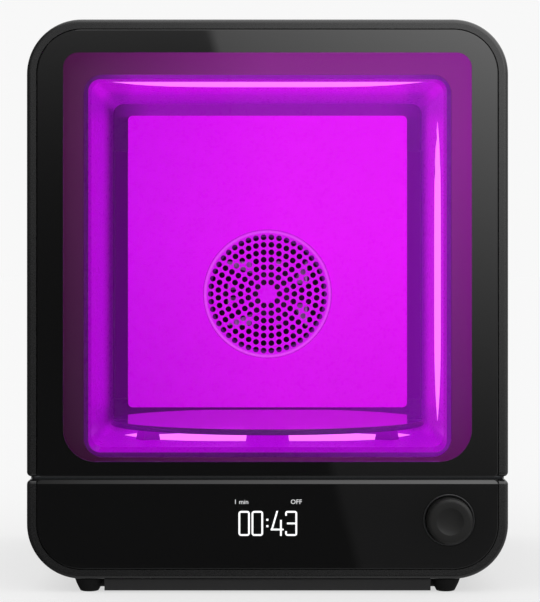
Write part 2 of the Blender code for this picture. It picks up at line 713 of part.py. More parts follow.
def make_turntable():
    centre = (0, TABLE_Y, 0)
    motor = [(0, 0.0770), (0.0245, 0.0770), (0.0245, 0.0884)]
    motor += [(0.0040, 0.0884), (0.0040, 0.0820), (0, 0.0820)]
    turned("turntable_motor", motor, "Z", centre, "steel")
    hub = [(0, 0.0840), (SPINDLE_R, 0.0840), (SPINDLE_R, 0.0965)]
    hub += [(HUB_R, 0.0965), (HUB_R, ARM_TOP), (0, ARM_TOP)]
    carrier = turned("turntable_carrier", hub, "Z", centre, "grey_plastic")
    side = [
        (0.006, ARM_BOTTOM), (LEG_RADIUS - 0.006, ARM_BOTTOM), (LEG_RADIUS - 0.0068, LEG_BOTTOM),
        (LEG_RADIUS + 0.0068, LEG_BOTTOM), (LEG_RADIUS + 0.0056, ARM_TOP), (0.006, ARM_TOP),
    ]
    for angle in ARM_ANGLES:
        arm = prism(f"carrier_arm_{angle % 360}", [side], "Y", -0.0055, 0.0055)
        arm.location = centre
        arm.rotation_euler.z = math.radians(angle)
        join(carrier, arm)
    edge = 0.0006
    low = ARM_TOP + GAP
    disc = [
        (0, low), (TABLE_R - edge, low), (TABLE_R, low + edge),
        (TABLE_R, TABLE_TOP - edge), (TABLE_R - edge, TABLE_TOP), (0, TABLE_TOP),
    ]
    glass = turned("turntable_glass", disc, "Z", centre, "clear_glass", 64)
    carry("turntable_axis", centre, [carrier, glass])


# Control strip


def make_control_strip():
    edge = rounded(-HALF_WIDTH, HALF_WIDTH, CONTROL_BOTTOM, CONTROL_TOP, CORNER, EDGE_ROUND)
    frame = prism("control_frame", [edge], "Y", FRONT, SHELL_FRONT - GAP, "black_satin", FRONT_ROUND)
    half = HALF_WIDTH - RIM
    pocket = rounded(-half, half, CONTROL_BOTTOM + RIM, CONTROL_TOP + 0.02, CORNER - RIM, EDGE_ROUND)
    opening = rounded(-0.1470, 0.1470, 0.0200, 0.0690, 0.022, 0.004)
    cut(
        frame,
        prism("control_pocket_cut", [pocket], "Y", FRONT - 0.005, FRONT + GLASS + GAP),
        prism("control_opening_cut", [opening], "Y", FRONT - 0.005, SHELL_FRONT + 0.005),
    )
    half = HALF_WIDTH - GLASS_EDGE
    foot, crown = CONTROL_BOTTOM + GLASS_EDGE, CONTROL_TOP - 0.0002
    glass = rounded(-half, half, foot, crown, CORNER - GLASS_EDGE, EDGE_ROUND)
    well_hole = circle(KNOB_X, KNOB_Z, WELL_R + GAP, 40)
    prism("control_glass", [glass, well_hole], "Y", FRONT, FRONT + GLASS, "black_glass")
    display = centred(0, 0.0462, 0.027, 0.0122, 0.001)
    prism("display_module", [display], "Y", -0.1594, -0.1503, "grey_plastic")
    board = rounded(-0.070, 0.134, 0.0240, 0.0665, 0.002, steps=3)
    prism("control_board", [board], "Y", -0.1500, -0.1484, "circuit_board")


def make_knob():
    """A cap in a shallow well, turning on a sleeve that slides into the encoder when the knob is pushed."""
    centre = (KNOB_X, 0, KNOB_Z)
    floor = -0.1588
    well = [
        (0.0040, floor + 0.002), (WELL_R, floor + 0.002), (WELL_R, FRONT - 0.0002),
        (0.0158, FRONT - 0.0002), (0.0158, floor), (0.0040, floor),
    ]
    turned("knob_well", well, "Y", centre, "steel", 40)
    cap = [
        (0, KNOB_FRONT + 0.0014), (0.0045, KNOB_FRONT + 0.0012), (0.0078, KNOB_FRONT + 0.0006),
        (0.0091, KNOB_FRONT), (KNOB_R - 0.0018, KNOB_FRONT), (KNOB_R - 0.0005, KNOB_FRONT + 0.0005),
        (KNOB_R, KNOB_FRONT + 0.0018), (KNOB_R, floor - 0.0024), (0.0032, floor - 0.0024),
        (0.0032, KNOB_FRONT + 0.0032), (0, KNOB_FRONT + 0.0032),
    ]
    knob = turned("knob_cap", cap, "Y", centre, "black_satin", 40)
    sleeve = [(0, KNOB_FRONT + 0.0035), (0.0029, KNOB_FRONT + 0.0035), (0.0029, -0.1533), (0, -0.1533)]
    plunger = turned("encoder_plunger", sleeve, "Y", centre, "steel", 24)
    block = centred(KNOB_X, KNOB_Z, 0.0065, 0.0065, 0.0008)
    body = prism("encoder_body", [block], "Y", -0.1563, -0.1503, "grey_plastic")
    cut(body, prism("encoder_bore_cut", [circle(KNOB_X, KNOB_Z, 0.0033, 24)], "Y", -0.1600, -0.1513))
    push = carry("knob_push_axis", centre, [plunger])
    bpy.context.view_layer.update()
    carry("knob_turn_axis", centre, [knob], push)


# Electronics in the base


def make_electronics():
    floor = SHELL_LOW + SHELL_WALL + GAP
    supply = centred(-0.065, 0.060, 0.055, 0.040, 0.003)
    prism("power_supply", [supply], "Z", floor, floor + 0.034, "aluminium")
    board = centred(0.060, 0.040, 0.065, 0.055, 0.003)
    corners = [(x, y) for x in (0.000, 0.120) for y in (-0.010, 0.090)]
    holes = [circle(x, y, 0.0018, 10) for x, y in corners]
    prism("main_board", [board, *holes], "Z", floor, floor + LED_BOARD, "circuit_board")


clear_scene()
make_casing()
make_front_bulkhead()
make_chamber_walls()
make_back_wall()
make_lights()
make_air()
make_turntable()
make_door()
make_hinges()
make_control_strip()
make_knob()
make_electronics()
make_rear()
make_power_switch()
make_feet_and_pan()
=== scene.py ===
import math

import bmesh
import bpy
from mathutils import Matrix, Vector


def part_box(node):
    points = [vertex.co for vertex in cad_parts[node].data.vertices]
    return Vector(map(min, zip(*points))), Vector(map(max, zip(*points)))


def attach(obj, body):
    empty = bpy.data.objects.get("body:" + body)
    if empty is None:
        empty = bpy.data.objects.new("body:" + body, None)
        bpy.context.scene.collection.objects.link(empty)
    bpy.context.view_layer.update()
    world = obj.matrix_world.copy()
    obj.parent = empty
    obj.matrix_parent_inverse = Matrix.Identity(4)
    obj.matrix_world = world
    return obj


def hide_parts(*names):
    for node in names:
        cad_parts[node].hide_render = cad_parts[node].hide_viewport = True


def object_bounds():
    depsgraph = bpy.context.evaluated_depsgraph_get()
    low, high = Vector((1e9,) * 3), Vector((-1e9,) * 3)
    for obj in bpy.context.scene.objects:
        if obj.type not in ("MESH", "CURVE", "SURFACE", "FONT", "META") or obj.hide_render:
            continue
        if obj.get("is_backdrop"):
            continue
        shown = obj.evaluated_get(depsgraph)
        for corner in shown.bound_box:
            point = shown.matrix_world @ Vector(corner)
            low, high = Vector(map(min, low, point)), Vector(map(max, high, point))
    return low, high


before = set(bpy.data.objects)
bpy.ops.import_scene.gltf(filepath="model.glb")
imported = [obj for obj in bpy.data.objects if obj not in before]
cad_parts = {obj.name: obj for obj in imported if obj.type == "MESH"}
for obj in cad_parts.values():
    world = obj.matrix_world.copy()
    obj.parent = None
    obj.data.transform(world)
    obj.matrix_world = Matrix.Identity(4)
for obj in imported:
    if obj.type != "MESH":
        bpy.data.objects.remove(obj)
CAD_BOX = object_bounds()

# Places, read from the frame
DOOR_LOW, DOOR_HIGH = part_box("door_frame")
GLASS_LOW, GLASS_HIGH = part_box("door_glass")
CONTROL_LOW, CONTROL_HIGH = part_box("control_frame")
PANEL_LOW, PANEL_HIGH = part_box("control_glass")
COVER_LOW, COVER_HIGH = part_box("upper_cover")
BASE_LOW, BASE_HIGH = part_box("base_housing")
BULKHEAD_LOW, BULKHEAD_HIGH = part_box("front_bulkhead")
SEAL_LOW, SEAL_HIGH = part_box("door_gasket")
REFLECTOR_LOW, REFLECTOR_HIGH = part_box("back_reflector")
GRILLE_LOW, GRILLE_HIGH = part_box("fan_grille")
DISC_LOW, DISC_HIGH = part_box("turntable_glass")
CARRIER_LOW, CARRIER_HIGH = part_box("turntable_carrier")
WELL_LOW, WELL_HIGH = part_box("knob_well")
CAP_LOW, CAP_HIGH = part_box("knob_cap")
GUARD_LOW, GUARD_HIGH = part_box("exhaust_guard")
REAR_LOW, REAR_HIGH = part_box("rear_cover")
INLET_LOW, INLET_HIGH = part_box("power_inlet")
SWITCH_LOW, SWITCH_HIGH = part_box("power_switch_housing")
TOP_LIGHT_LOW, TOP_LIGHT_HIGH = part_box("led_window_top")
SIDE_LIGHT_LOW, SIDE_LIGHT_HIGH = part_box("led_window_right")
FLOOR_LIGHT_LOW, FLOOR_LIGHT_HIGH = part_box("led_window_bottom")

FRONT = DOOR_LOW.y
HALF_WIDTH = DOOR_HIGH.x
CORNER = 0.0365
CORNER_LOW = 0.0030
RIM = 0.0063
RIM_ROUND = 0.0028
GLASS_INSET = HALF_WIDTH - GLASS_HIGH.x
GLASS_BACK = GLASS_HIGH.y

# Window in the black border of the door glass
WINDOW_HALF = 0.1357
WINDOW_LOW = 0.0870
WINDOW_HIGH = 0.3588
WINDOW_LOW_R = 0.0220
WINDOW_HIGH_R = 0.0100
OPENING_HALF = 0.1403
OPENING_LOW = 0.0838
OPENING_HIGH = 0.3632

# Chamber
CHAMBER_HALF = 0.1190
CHAMBER_FLOOR = 0.0945
CHAMBER_TOP = 0.3415
CHAMBER_BACK = 0.0980
CHAMBER_R = 0.0080
MOUTH_HALF = 0.1210
MOUTH_LOW = 0.0911
MOUTH_HIGH = 0.3430
MOUTH_LIP = 0.0029
MOUTH_R = 0.0100
FLARE_BACK = BULKHEAD_LOW.y + 0.0040
LINER_WALL = 0.0010
SLOT_GAP = 0.0003

GRILLE_Z = (GRILLE_LOW.z + GRILLE_HIGH.z) / 2
GRILLE_R = (GRILLE_HIGH.x - GRILLE_LOW.x) / 2
TABLE_Y = (DISC_LOW.y + DISC_HIGH.y) / 2
TABLE_R = (DISC_HIGH.x - DISC_LOW.x) / 2
HUB_R = 0.0155
SPINDLE_HOLE_R = 0.0050
LEG_ANGLES = (-30, 90, 210)
LEG_RADIUS = 0.0970
KNOB_X = (CAP_LOW.x + CAP_HIGH.x) / 2
KNOB_Z = (CAP_LOW.z + CAP_HIGH.z) / 2
KNOB_R = (CAP_HIGH.x - CAP_LOW.x) / 2
WELL_R = (WELL_HIGH.x - WELL_LOW.x) / 2
HINGE_X, HINGE_Y = -0.1550, -0.1450
HINGE_SPANS = ((0.100, 0.124), (0.316, 0.340))
EXHAUST_X = (GUARD_LOW.x + GUARD_HIGH.x) / 2
EXHAUST_Z = (GUARD_LOW.z + GUARD_HIGH.z) / 2


# Modelling steps


def lay_off():
    """Back to object mode with nothing selected."""
    if bpy.context.mode != "OBJECT":
        bpy.ops.object.mode_set(mode="OBJECT")
    bpy.ops.object.select_all(action="DESELECT")


def take(piece):
    lay_off()
    piece.select_set(True)
    bpy.context.view_layer.objects.active = piece


def settle(name):
    """Names the new piece and writes its place into its mesh."""
    piece = bpy.context.object
    piece.name = name
    piece.data.name = name
    bpy.ops.object.transform_apply(location=True, rotation=True, scale=True)
    return piece


def block(name, low, high):
    lay_off()
    low, high = Vector(low), Vector(high)
    bpy.ops.mesh.primitive_cube_add(size=1, location=(low + high) / 2, scale=high - low)
    return settle(name)


def drum(name, across, radius, start, end, axis="Y", sides=64):
    """A round bar along an axis: across holds its centre on the two other axes."""
    lay_off()
    middle = (start + end) / 2
    place = {
        "X": (middle, across[0], across[1]),
        "Y": (across[0], middle, across[1]),
        "Z": (across[0], across[1], middle),
    }[axis]
    turn = {"X": (0, math.pi / 2, 0), "Y": (math.pi / 2, 0, 0), "Z": (0, 0, 0)}[axis]
    bpy.ops.mesh.primitive_cylinder_add(
        vertices=sides, radius=radius, depth=abs(end - start), location=place, rotation=turn
    )
    return settle(name)


def choose(piece, kind, test):
    """Within edit mode, selects only the edges, faces or points that pass the test."""
    bpy.ops.mesh.select_mode(type=kind)
    bpy.ops.mesh.select_all(action="DESELECT")
    shape = bmesh.from_edit_mesh(piece.data)
    for item in {"EDGE": shape.edges, "FACE": shape.faces, "VERT": shape.verts}[kind]:
        if test(item):
            item.select_set(True)
    shape.select_flush_mode()
    bmesh.update_edit_mesh(piece.data)


def pick(piece, kind, test):
    take(piece)
    bpy.ops.object.mode_set(mode="EDIT")
    choose(piece, kind, test)


def middle_of(item):
    points = [corner.co for corner in item.verts]
    return sum(points, Vector()) / len(points)


def runs_along(edge, axis):
    way = edge.verts[1].co - edge.verts[0].co
    return abs(way[axis]) > 0.99 * way.length


def soften(piece, width, segments, test, profile=0.5):
    """Rounds the edges that pass the test, or chamfers them with one segment."""
    pick(piece, "EDGE", test)
    bpy.ops.mesh.bevel(offset=width, segments=segments, profile=profile, affect="EDGES")
    bpy.ops.mesh.select_all(action="SELECT")
    bpy.ops.mesh.remove_doubles(threshold=0.000001)
    lay_off()


def face_rim(axis, level, inside=None):
    """A test for the edges round a flat face that lies at one level of an axis."""
    def test(edge):
        if any(abs(corner.co[axis] - level) > 0.00002 for corner in edge.verts):
            return False
        if inside and not inside(middle_of(edge)):
            return False
        return any(abs(face.normal[axis]) < 0.5 for face in edge.link_faces)
    return test


def combine(piece, others, way):
    for other in others:
        step = piece.modifiers.new(way, "BOOLEAN")
        step.operation = way
        step.object = other
        step.solver = "EXACT"
        take(piece)
        bpy.ops.object.modifier_apply(modifier=step.name)
        bpy.data.objects.remove(other)


def carve(piece, *tools):
    combine(piece, tools, "DIFFERENCE")


def fuse(piece, *others):
    combine(piece, others, "UNION")


def gather(piece, others):
    """Joins the others into the piece as they are."""
    take(piece)
    for other in others:
        other.select_set(True)
    bpy.ops.object.join()
    lay_off()
    return piece


def twin_of(piece, name, move):
    """A copy with its own mesh, moved by this matrix."""
    twin = piece.copy()
    twin.data = piece.data.copy()
    twin.name = name
    twin.data.name = name
    bpy.context.scene.collection.objects.link(twin)
    twin.data.transform(move)
    return twin


def slab(name, low, high, low_r, high_r, axis=1):
    """A block with corners rounded across one axis: one radius at its lower side, one at its upper side."""
    piece = block(name, low, high)
    up = 1 if axis == 2 else 2
    for radius, level in ((low_r, low[up]), (high_r, high[up])):
        if radius > 0:
            steps = 24 if radius > 0.015 else 12 if radius > 0.004 else 5
            corner = lambda edge: runs_along(edge, axis) and abs(middle_of(edge)[up] - level) < 0.00001
            soften(piece, radius, steps, corner)
    return piece


def centred(name, half, span, depth, low_r, high_r):
    """A slab set evenly about the middle line: span is its bottom and top, depth its front and back."""
    return slab(name, (-half, depth[0], span[0]), (half, depth[1], span[1]), low_r, high_r)


def polish(piece, angle=35):
    """Merges doubled points, turns faces outwards and shades the round faces smooth."""
    take(piece)
    bpy.ops.object.mode_set(mode="EDIT")
    bpy.ops.mesh.select_all(action="SELECT")
    bpy.ops.mesh.remove_doubles(threshold=0.000002)
    bpy.ops.mesh.normals_make_consistent(inside=False)
    lay_off()
    take(piece)
    bpy.ops.object.shade_smooth_by_angle(angle=math.radians(angle))
    flat_first = piece.modifiers.new("flat_first", "WEIGHTED_NORMAL")
    flat_first.keep_sharp = True
    bpy.ops.object.modifier_apply(modifier=flat_first.name)
    lay_off()
    return piece


def lathe(name, profile, centre, axis="Y", sides=64, ring=False):
    """A turned piece: a circle is extruded and resized along a profile of (radius, depth) points."""
    lay_off()
    radius, depth = profile[0]
    bpy.ops.mesh.primitive_circle_add(
        vertices=sides, radius=radius, fill_type="NOTHING" if ring else "NGON", location=(0, 0, depth)
    )
    bpy.ops.object.transform_apply(location=True)
    bpy.ops.object.mode_set(mode="EDIT")
    bpy.ops.mesh.select_all(action="SELECT")
    for next_radius, next_depth in profile[1:] + (profile[:1] if ring else []):
        bpy.ops.mesh.extrude_region_move()
        bpy.ops.transform.translate(value=(0, 0, next_depth - depth))
        grow = next_radius / radius
        bpy.ops.transform.resize(value=(grow, grow, 1), center_override=(0, 0, next_depth))
        radius, depth = next_radius, next_depth
    bpy.ops.mesh.select_all(action="SELECT")
    bpy.ops.mesh.remove_doubles(threshold=0.000005)
    bpy.ops.object.mode_set(mode="OBJECT")
    piece = bpy.context.object
    if axis == "Y":
        piece.rotation_euler.x = -math.pi / 2
        piece.location = (centre[0], 0, centre[1])
    elif axis == "X":
        piece.rotation_euler.y = math.pi / 2
        piece.location = (0, centre[0], centre[1])
    else:
        piece.location = (centre[0], centre[1], 0)
    return polish(settle(name))


# Finishes


def finish(name, colour, roughness, metallic=0.0, **settings):
    """A Principled material; the settings are sockets by name, such as ior or coat_weight."""
    made = bpy.data.materials.new(name)
    made.use_nodes = True
    shader = shader_of(made)
    for key, value in (("Base Color", (*colour, 1)), ("Roughness", roughness), ("Metallic", metallic)):
        shader.inputs[key].default_value = value
    for key, value in settings.items():
        socket = shader.inputs[key.replace("_", " ").title().replace("Ior", "IOR")]
        socket.default_value = value
    return made


def add_node(made, kind, **values):
    node = made.node_tree.nodes.new(kind)
    for key, value in values.items():
        if key in node.inputs:
            node.inputs[key].default_value = value
        else:
            setattr(node, key, value)
    return node


def wire(made, start, end):
    made.node_tree.links.new(start, end)


def shader_of(made):
    return made.node_tree.nodes["Principled BSDF"]


def object_place(made):
    return add_node(made, "ShaderNodeTexCoord").outputs["Object"]


def level(made, socket, start, end, low=0.0, high=1.0):
    """Maps a value from start..end to low..high, and holds it beyond."""
    node = add_node(made, "ShaderNodeMapRange")
    for key, value in zip(("From Min", "From Max", "To Min", "To Max"), (start, end, low, high)):
        node.inputs[key].default_value = value
    wire(made, socket, node.inputs["Value"])
    return node.outputs["Result"]


def axes_of(made, vector):
    split = add_node(made, "ShaderNodeSeparateXYZ")
    wire(made, vector, split.inputs["Vector"])
    return split.outputs


def product(made, socket, factor, clamp=False):
    node = add_node(made, "ShaderNodeMath", operation="MULTIPLY", use_clamp=clamp)
    node.inputs[1].default_value = factor
    wire(made, socket, node.inputs[0])
    return node.outputs["Value"]


def grain(made, scale, height, spread=0.0, colours=None, detail=4.0, stretch=(1, 1, 1)):
    """Fine noise that bumps the surface, varies its roughness and drifts between two colours."""
    shader = shader_of(made)
    place = add_node(made, "ShaderNodeMapping")
    place.inputs["Scale"].default_value = stretch
    wire(made, object_place(made), place.inputs["Vector"])
    noise = add_node(made, "ShaderNodeTexNoise", Scale=scale, Detail=detail, Roughness=0.6)
    wire(made, place.outputs["Vector"], noise.inputs["Vector"])
    if height:
        bump = add_node(made, "ShaderNodeBump", Strength=1.0, Distance=height)
        wire(made, noise.outputs["Fac"], bump.inputs["Height"])
        wire(made, bump.outputs["Normal"], shader.inputs["Normal"])
    if spread:
        middle = shader.inputs["Roughness"].default_value
        gloss = level(made, noise.outputs["Fac"], 0.35, 0.65, max(0.0, middle - spread), middle + spread)
        wire(made, gloss, shader.inputs["Roughness"])
    if colours:
        broad = add_node(made, "ShaderNodeTexNoise", Scale=scale / 12, Detail=3.0)
        wire(made, place.outputs["Vector"], broad.inputs["Vector"])
        ramp = add_node(made, "ShaderNodeValToRGB")
        for element, position, colour in zip(ramp.color_ramp.elements, (0.35, 0.65), colours):
            element.position = position
            element.color = (*colour, 1)
        wire(made, broad.outputs["Fac"], ramp.inputs["Fac"])
        wire(made, ramp.outputs["Color"], shader.inputs["Base Color"])
    return made


def scuffed(name, colour, roughness, metallic=0.0, scale=900.0, height=0.00004, spread=0.06, **settings):
    """A finish with a fine grain, a slight drift of its colour and uneven gloss."""
    made = finish(name, colour, roughness, metallic, **settings)
    darker = tuple(value * 0.95 for value in colour)
    lighter = tuple(min(1.0, value * 1.05) for value in colour)
    return grain(made, scale, height, spread, (darker, lighter))


def brushed(name, colour, roughness, stretch):
    """Brushed metal: the grain is drawn out along one axis."""
    made = finish(name, colour, roughness, 1.0)
    darker = tuple(value * 0.85 for value in colour)
    return grain(made, 700.0, 0.00001, 0.08, (darker, colour), stretch=stretch)


def ramp_along(made, vector, axis, stops):
    """A colour that runs through the stops along one axis: each stop is (place in metres, colour)."""
    start, end = stops[0][0], stops[-1][0]
    ramp = add_node(made, "ShaderNodeValToRGB")
    places = ramp.color_ramp.elements
    while len(places) < len(stops):
        places.new(0.5)
    for element, (place, colour) in zip(places, stops):
        element.position = (place - start) / (end - start)
        element.color = (*colour, 1)
    wire(made, level(made, axes_of(made, vector)[axis], start, end), ramp.inputs["Fac"])
    return ramp.outputs["Color"]


def blend_colours(made, first, second, amount=None, kind="MIX"):
    """Mixes the second colour into the first by an amount from another node, or all of it."""
    mixer = add_node(made, "ShaderNodeMix", data_type="RGBA", blend_type=kind)
    mixer.inputs["Factor"].default_value = 1.0
    wire(made, first, mixer.inputs["A"])
    wire(made, second, mixer.inputs["B"])
    if amount is not None:
        wire(made, amount, mixer.inputs["Factor"])
    return mixer.outputs["Result"]


def glow(made, colour):
    """Sends a colour to the shader's emission."""
    shader = shader_of(made)
    wire(made, colour, shader.inputs["Emission Color"])
    shader.inputs["Emission Strength"].default_value = 1.0


def dress(piece, material):
    piece.data.materials.clear()
    piece.data.materials.append(material)


def install(piece, body, slot, material, *nodes):
    """Puts the finish on a piece, names its body, and lets it stand for its CAD nodes; the slot is not used.
    """
    dress(piece, material)
    if nodes:
        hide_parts(*nodes)
    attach(piece, body)
    return piece


# Outer case: door, control strip and covers

SATIN = scuffed(
    "satin_black_moulding", (0.008, 0.008, 0.0083), 0.27, 0.0, 1400.0, 0.000007, 0.03, specular_ior_level=0.9
)
PAINT = scuffed("dark_powder_coat", (0.026, 0.026, 0.027), 0.48, scale=1100.0, height=0.00007, spread=0.07)
PLASTIC = scuffed(
    "dark_moulded_plastic", (0.018, 0.018, 0.0185), 0.50, scale=800.0, height=0.00005, specular_ior_level=0.3
)
RUBBER = scuffed(
    "soft_black_rubber", (0.0045, 0.0045, 0.0045), 0.80, scale=500.0, height=0.00010, specular_ior_level=0.2
)
GREY = scuffed("grey_moulded_plastic", (0.110, 0.110, 0.118), 0.48, scale=800.0, height=0.00004)
STEEL = brushed("brushed_steel", (0.52, 0.52, 0.53), 0.32, (1, 1, 14))
ALUMINIUM = brushed("brushed_aluminium", (0.60, 0.61, 0.62), 0.34, (14, 1, 1))


def glass_finish(name, colour, ior, weight, streaks):
    """Polished glass with faint wiping streaks in its gloss."""
    made = finish(name, colour, 0.02, ior=ior, transmission_weight=weight)
    return grain(made, 26.0, 0.0, streaks, detail=6.0, stretch=(1, 1, 3))


BLACK_GLASS = glass_finish("black_printed_glass", (0.0043, 0.0043, 0.0044), 1.80, 0.0, 0.015)
CLEAR_GLASS = glass_finish("clear_door_glass", (1.0, 1.0, 1.0), 1.15, 1.0, 0.004)
INNER_GLASS = glass_finish("clear_inner_glass", (1.0, 1.0, 1.0), 1.08, 1.0, 0.004)


def make_door_frame():
    """The door's moulding: a rounded rim, the glass seat, the window opening and the hinge pockets."""
    frame_piece = slab("door_moulding", DOOR_LOW, DOOR_HIGH, CORNER_LOW, CORNER)
    hinge_side = lambda edge: runs_along(edge, 2) and middle_of(edge).x < 0 and middle_of(edge).y > HINGE_Y
    soften(frame_piece, DOOR_HIGH.y - HINGE_Y, 8, hinge_side)
    soften(frame_piece, RIM_ROUND, 7, face_rim(1, FRONT))
    half = HALF_WIDTH - RIM
    seat_back = GLASS_BACK + 0.0012
    wall = 0.0033
    channel = slab(
        "channel_tool",
        (-0.1480, DOOR_HIGH.y - 0.0034, DOOR_LOW.z + wall),
        (HALF_WIDTH - wall, DOOR_HIGH.y + 0.002, DOOR_HIGH.z - wall),
        CORNER - wall,
        CORNER - wall,
    )
    depth = DOOR_HIGH.y - 0.006, DOOR_HIGH.y + 0.004
    carve(channel, centred("core_tool", 0.1430, (0.0, 0.3660), depth, 0, 0.012))
    span = DOOR_LOW.z - 0.02, DOOR_HIGH.z - RIM
    seat = centred("seat_tool", half, span, (FRONT - 0.01, seat_back), 0, CORNER - RIM)
    opening = centred("opening_tool", OPENING_HALF, (OPENING_LOW, OPENING_HIGH), (FRONT, 0.0), 0.020, 0.010)
    carve(frame_piece, seat, opening, channel)
    for low, high in HINGE_SPANS:
        reach = 0.0052
        pocket = block(
            "hinge_tool",
            (HINGE_X - 0.01, HINGE_Y - reach, low - 0.0005),
            (HINGE_X + reach, HINGE_Y + 0.01, high + 0.0005),
        )
        hole = drum("pin_tool", (HINGE_X, HINGE_Y), 0.00195, low - 0.009, high + 0.009, "Z", 32)
        carve(frame_piece, pocket, hole)
    install(polish(frame_piece, 30), "door", "black_satin", SATIN, "door_frame")


def make_door_glass():
    """The black border of the door glass, and the clear window within it."""
    edge_high = DOOR_HIGH.z - GLASS_INSET
    border = slab(
        "door_glass_border",
        (GLASS_LOW.x, FRONT, GLASS_LOW.z),
        (GLASS_HIGH.x, GLASS_BACK + 0.0009, edge_high),
        CORNER_LOW,
        CORNER - GLASS_INSET,
    )
    soften(border, 0.0005, 2, face_rim(1, FRONT))
    span = WINDOW_LOW, WINDOW_HIGH
    carve(border, centred("window_tool", WINDOW_HALF, span, (FRONT - 0.01, 0.0), WINDOW_LOW_R, WINDOW_HIGH_R))
    install(polish(border, 15), "door", "black_glass", BLACK_GLASS, "door_mask")
    gap = 0.00004
    window = centred(
        "door_window_glass",
        WINDOW_HALF - gap,
        (WINDOW_LOW + gap, WINDOW_HIGH - gap),
        (FRONT, GLASS_BACK),
        WINDOW_LOW_R - gap,
        WINDOW_HIGH_R - gap,
    )
    install(polish(window, 15), "door", "door_glass", CLEAR_GLASS, "door_glass")


def make_door_seal():
    """The rubber seal on the door's back, with a rounded bead."""
    seal = slab("door_seal", SEAL_LOW, SEAL_HIGH, 0.020, 0.014)
    inset = 0.0025
    hole = slab(
        "seal_tool",
        (SEAL_LOW.x + inset, SEAL_LOW.y - 0.01, SEAL_LOW.z + inset),
        (SEAL_HIGH.x - inset, SEAL_HIGH.y + 0.01, SEAL_HIGH.z - inset),
        0.0175,
        0.0115,
    )
    carve(seal, hole)
    soften(seal, 0.0004, 3, face_rim(1, SEAL_HIGH.y))
    install(polish(seal, 40), "door", "black_rubber", RUBBER, "door_gasket")


def make_control_strip():
    """The strip's moulding and its black glass, with a light-catching chamfer along the glass's top edge."""
    strip = slab("control_moulding", CONTROL_LOW, CONTROL_HIGH, CORNER, CORNER_LOW)
    soften(strip, RIM_ROUND, 7, face_rim(1, FRONT))
    half = HALF_WIDTH - RIM
    span = CONTROL_LOW.z + RIM, CONTROL_HIGH.z + 0.02
    seat = centred("glass_seat_tool", half, span, (FRONT - 0.01, GLASS_BACK + 0.0003), CORNER - RIM, 0)
    carve(strip, seat, centred("strip_opening_tool", 0.1470, (0.0200, 0.0690), (FRONT, 0.0), 0.022, 0.004))
    install(polish(strip, 30), "cabinet", "black_satin", SATIN, "control_frame")
    glass = slab("control_panel_glass", PANEL_LOW, PANEL_HIGH, CORNER - GLASS_INSET, CORNER_LOW)
    soften(glass, 0.0004, 2, face_rim(1, FRONT, lambda place: place.z < PANEL_HIGH.z - 0.0040))
    tall, deep = 0.0024, 0.0010
    top = PANEL_HIGH.z
    wedge = block("slope_tool", (-0.17, FRONT - 0.01, top - tall), (0.17, FRONT + 2 * deep, top + tall))

    def lower_back(edge):
        middle = middle_of(edge)
        return middle.z < top and middle.y > FRONT and runs_along(edge, 0)

    pick(wedge, "EDGE", lower_back)
    bpy.ops.transform.translate(value=(0, -2 * deep, 0))
    lay_off()
    carve(glass, wedge)
    carve(glass, drum("well_tool", (KNOB_X, KNOB_Z), WELL_R + 0.0003, FRONT - 0.01, 0.0, sides=96))
    install(polish(glass, 15), "cabinet", "black_glass", BLACK_GLASS, "control_glass")


def make_covers():
    """The upper cover and the base housing: shells 2 mm thick with broken edges."""
    wall = 0.0020
    deep = 0.05
    corner = CORNER - 0.0005
    for name, node, low, high, body_slot in (
        ("upper_shell", "upper_cover", COVER_LOW, COVER_HIGH, "dark_casing"),
        ("base_shell", "base_housing", BASE_LOW, BASE_HIGH, "dark_casing"),
    ):
        upper = node == "upper_cover"
        shell = slab(name, low, high, 0 if upper else corner, corner if upper else 0)
        for level in (low.y, high.y):
            soften(shell, 0.0006, 3, face_rim(1, level))
        core_low = (low.x + wall, low.y - 0.01, low.z - deep if upper else low.z + wall)
        core_high = (high.x - wall, high.y + 0.01, high.z - wall if upper else high.z + deep)
        inner = corner - wall
        carve(shell, slab("shell_tool", core_low, core_high, 0 if upper else inner, inner if upper else 0))
        install(polish(shell, 30), "cabinet", body_slot, PAINT, node)


# Chamber

# Painted light, all but LAMP_GLOW: the violet glows stand in for the lamp light on the chamber's walls, and
# the shade colours are painted shade towards the back.
PAINTED_VIOLET_LIGHT_LEFT = (0.258, 0.0002, 0.405)
PAINTED_VIOLET_LIGHT_RIGHT = (0.345, 0.0060, 0.488)
PAINTED_VIOLET_LIGHT_FLOOR = (0.335, 0.0004, 0.525)
PAINTED_SHADE_LEFT = (0.074, 0.0009, 0.127)
PAINTED_SHADE_RIGHT = (0.168, 0.0021, 0.301)
PAINTED_STRIP_LIGHT = (0.270, 0.0030, 0.430)
PAINTED_SHADE_STOPS = ((-0.120, PAINTED_SHADE_LEFT), (0.0, PAINTED_SHADE_LEFT), (0.120, PAINTED_SHADE_RIGHT))
LAMP_GLOW = (0.97, 0.215, 1.00)


def painted_light_base(name, roughness=0.35):
    """The base of a chamber surface painted with light: dark violet under the painted violet glow."""
    made = finish(name, (0.008, 0.001, 0.010), roughness, specular_ior_level=0.2)
    return grain(made, 400.0, 0.00001, 0.05)


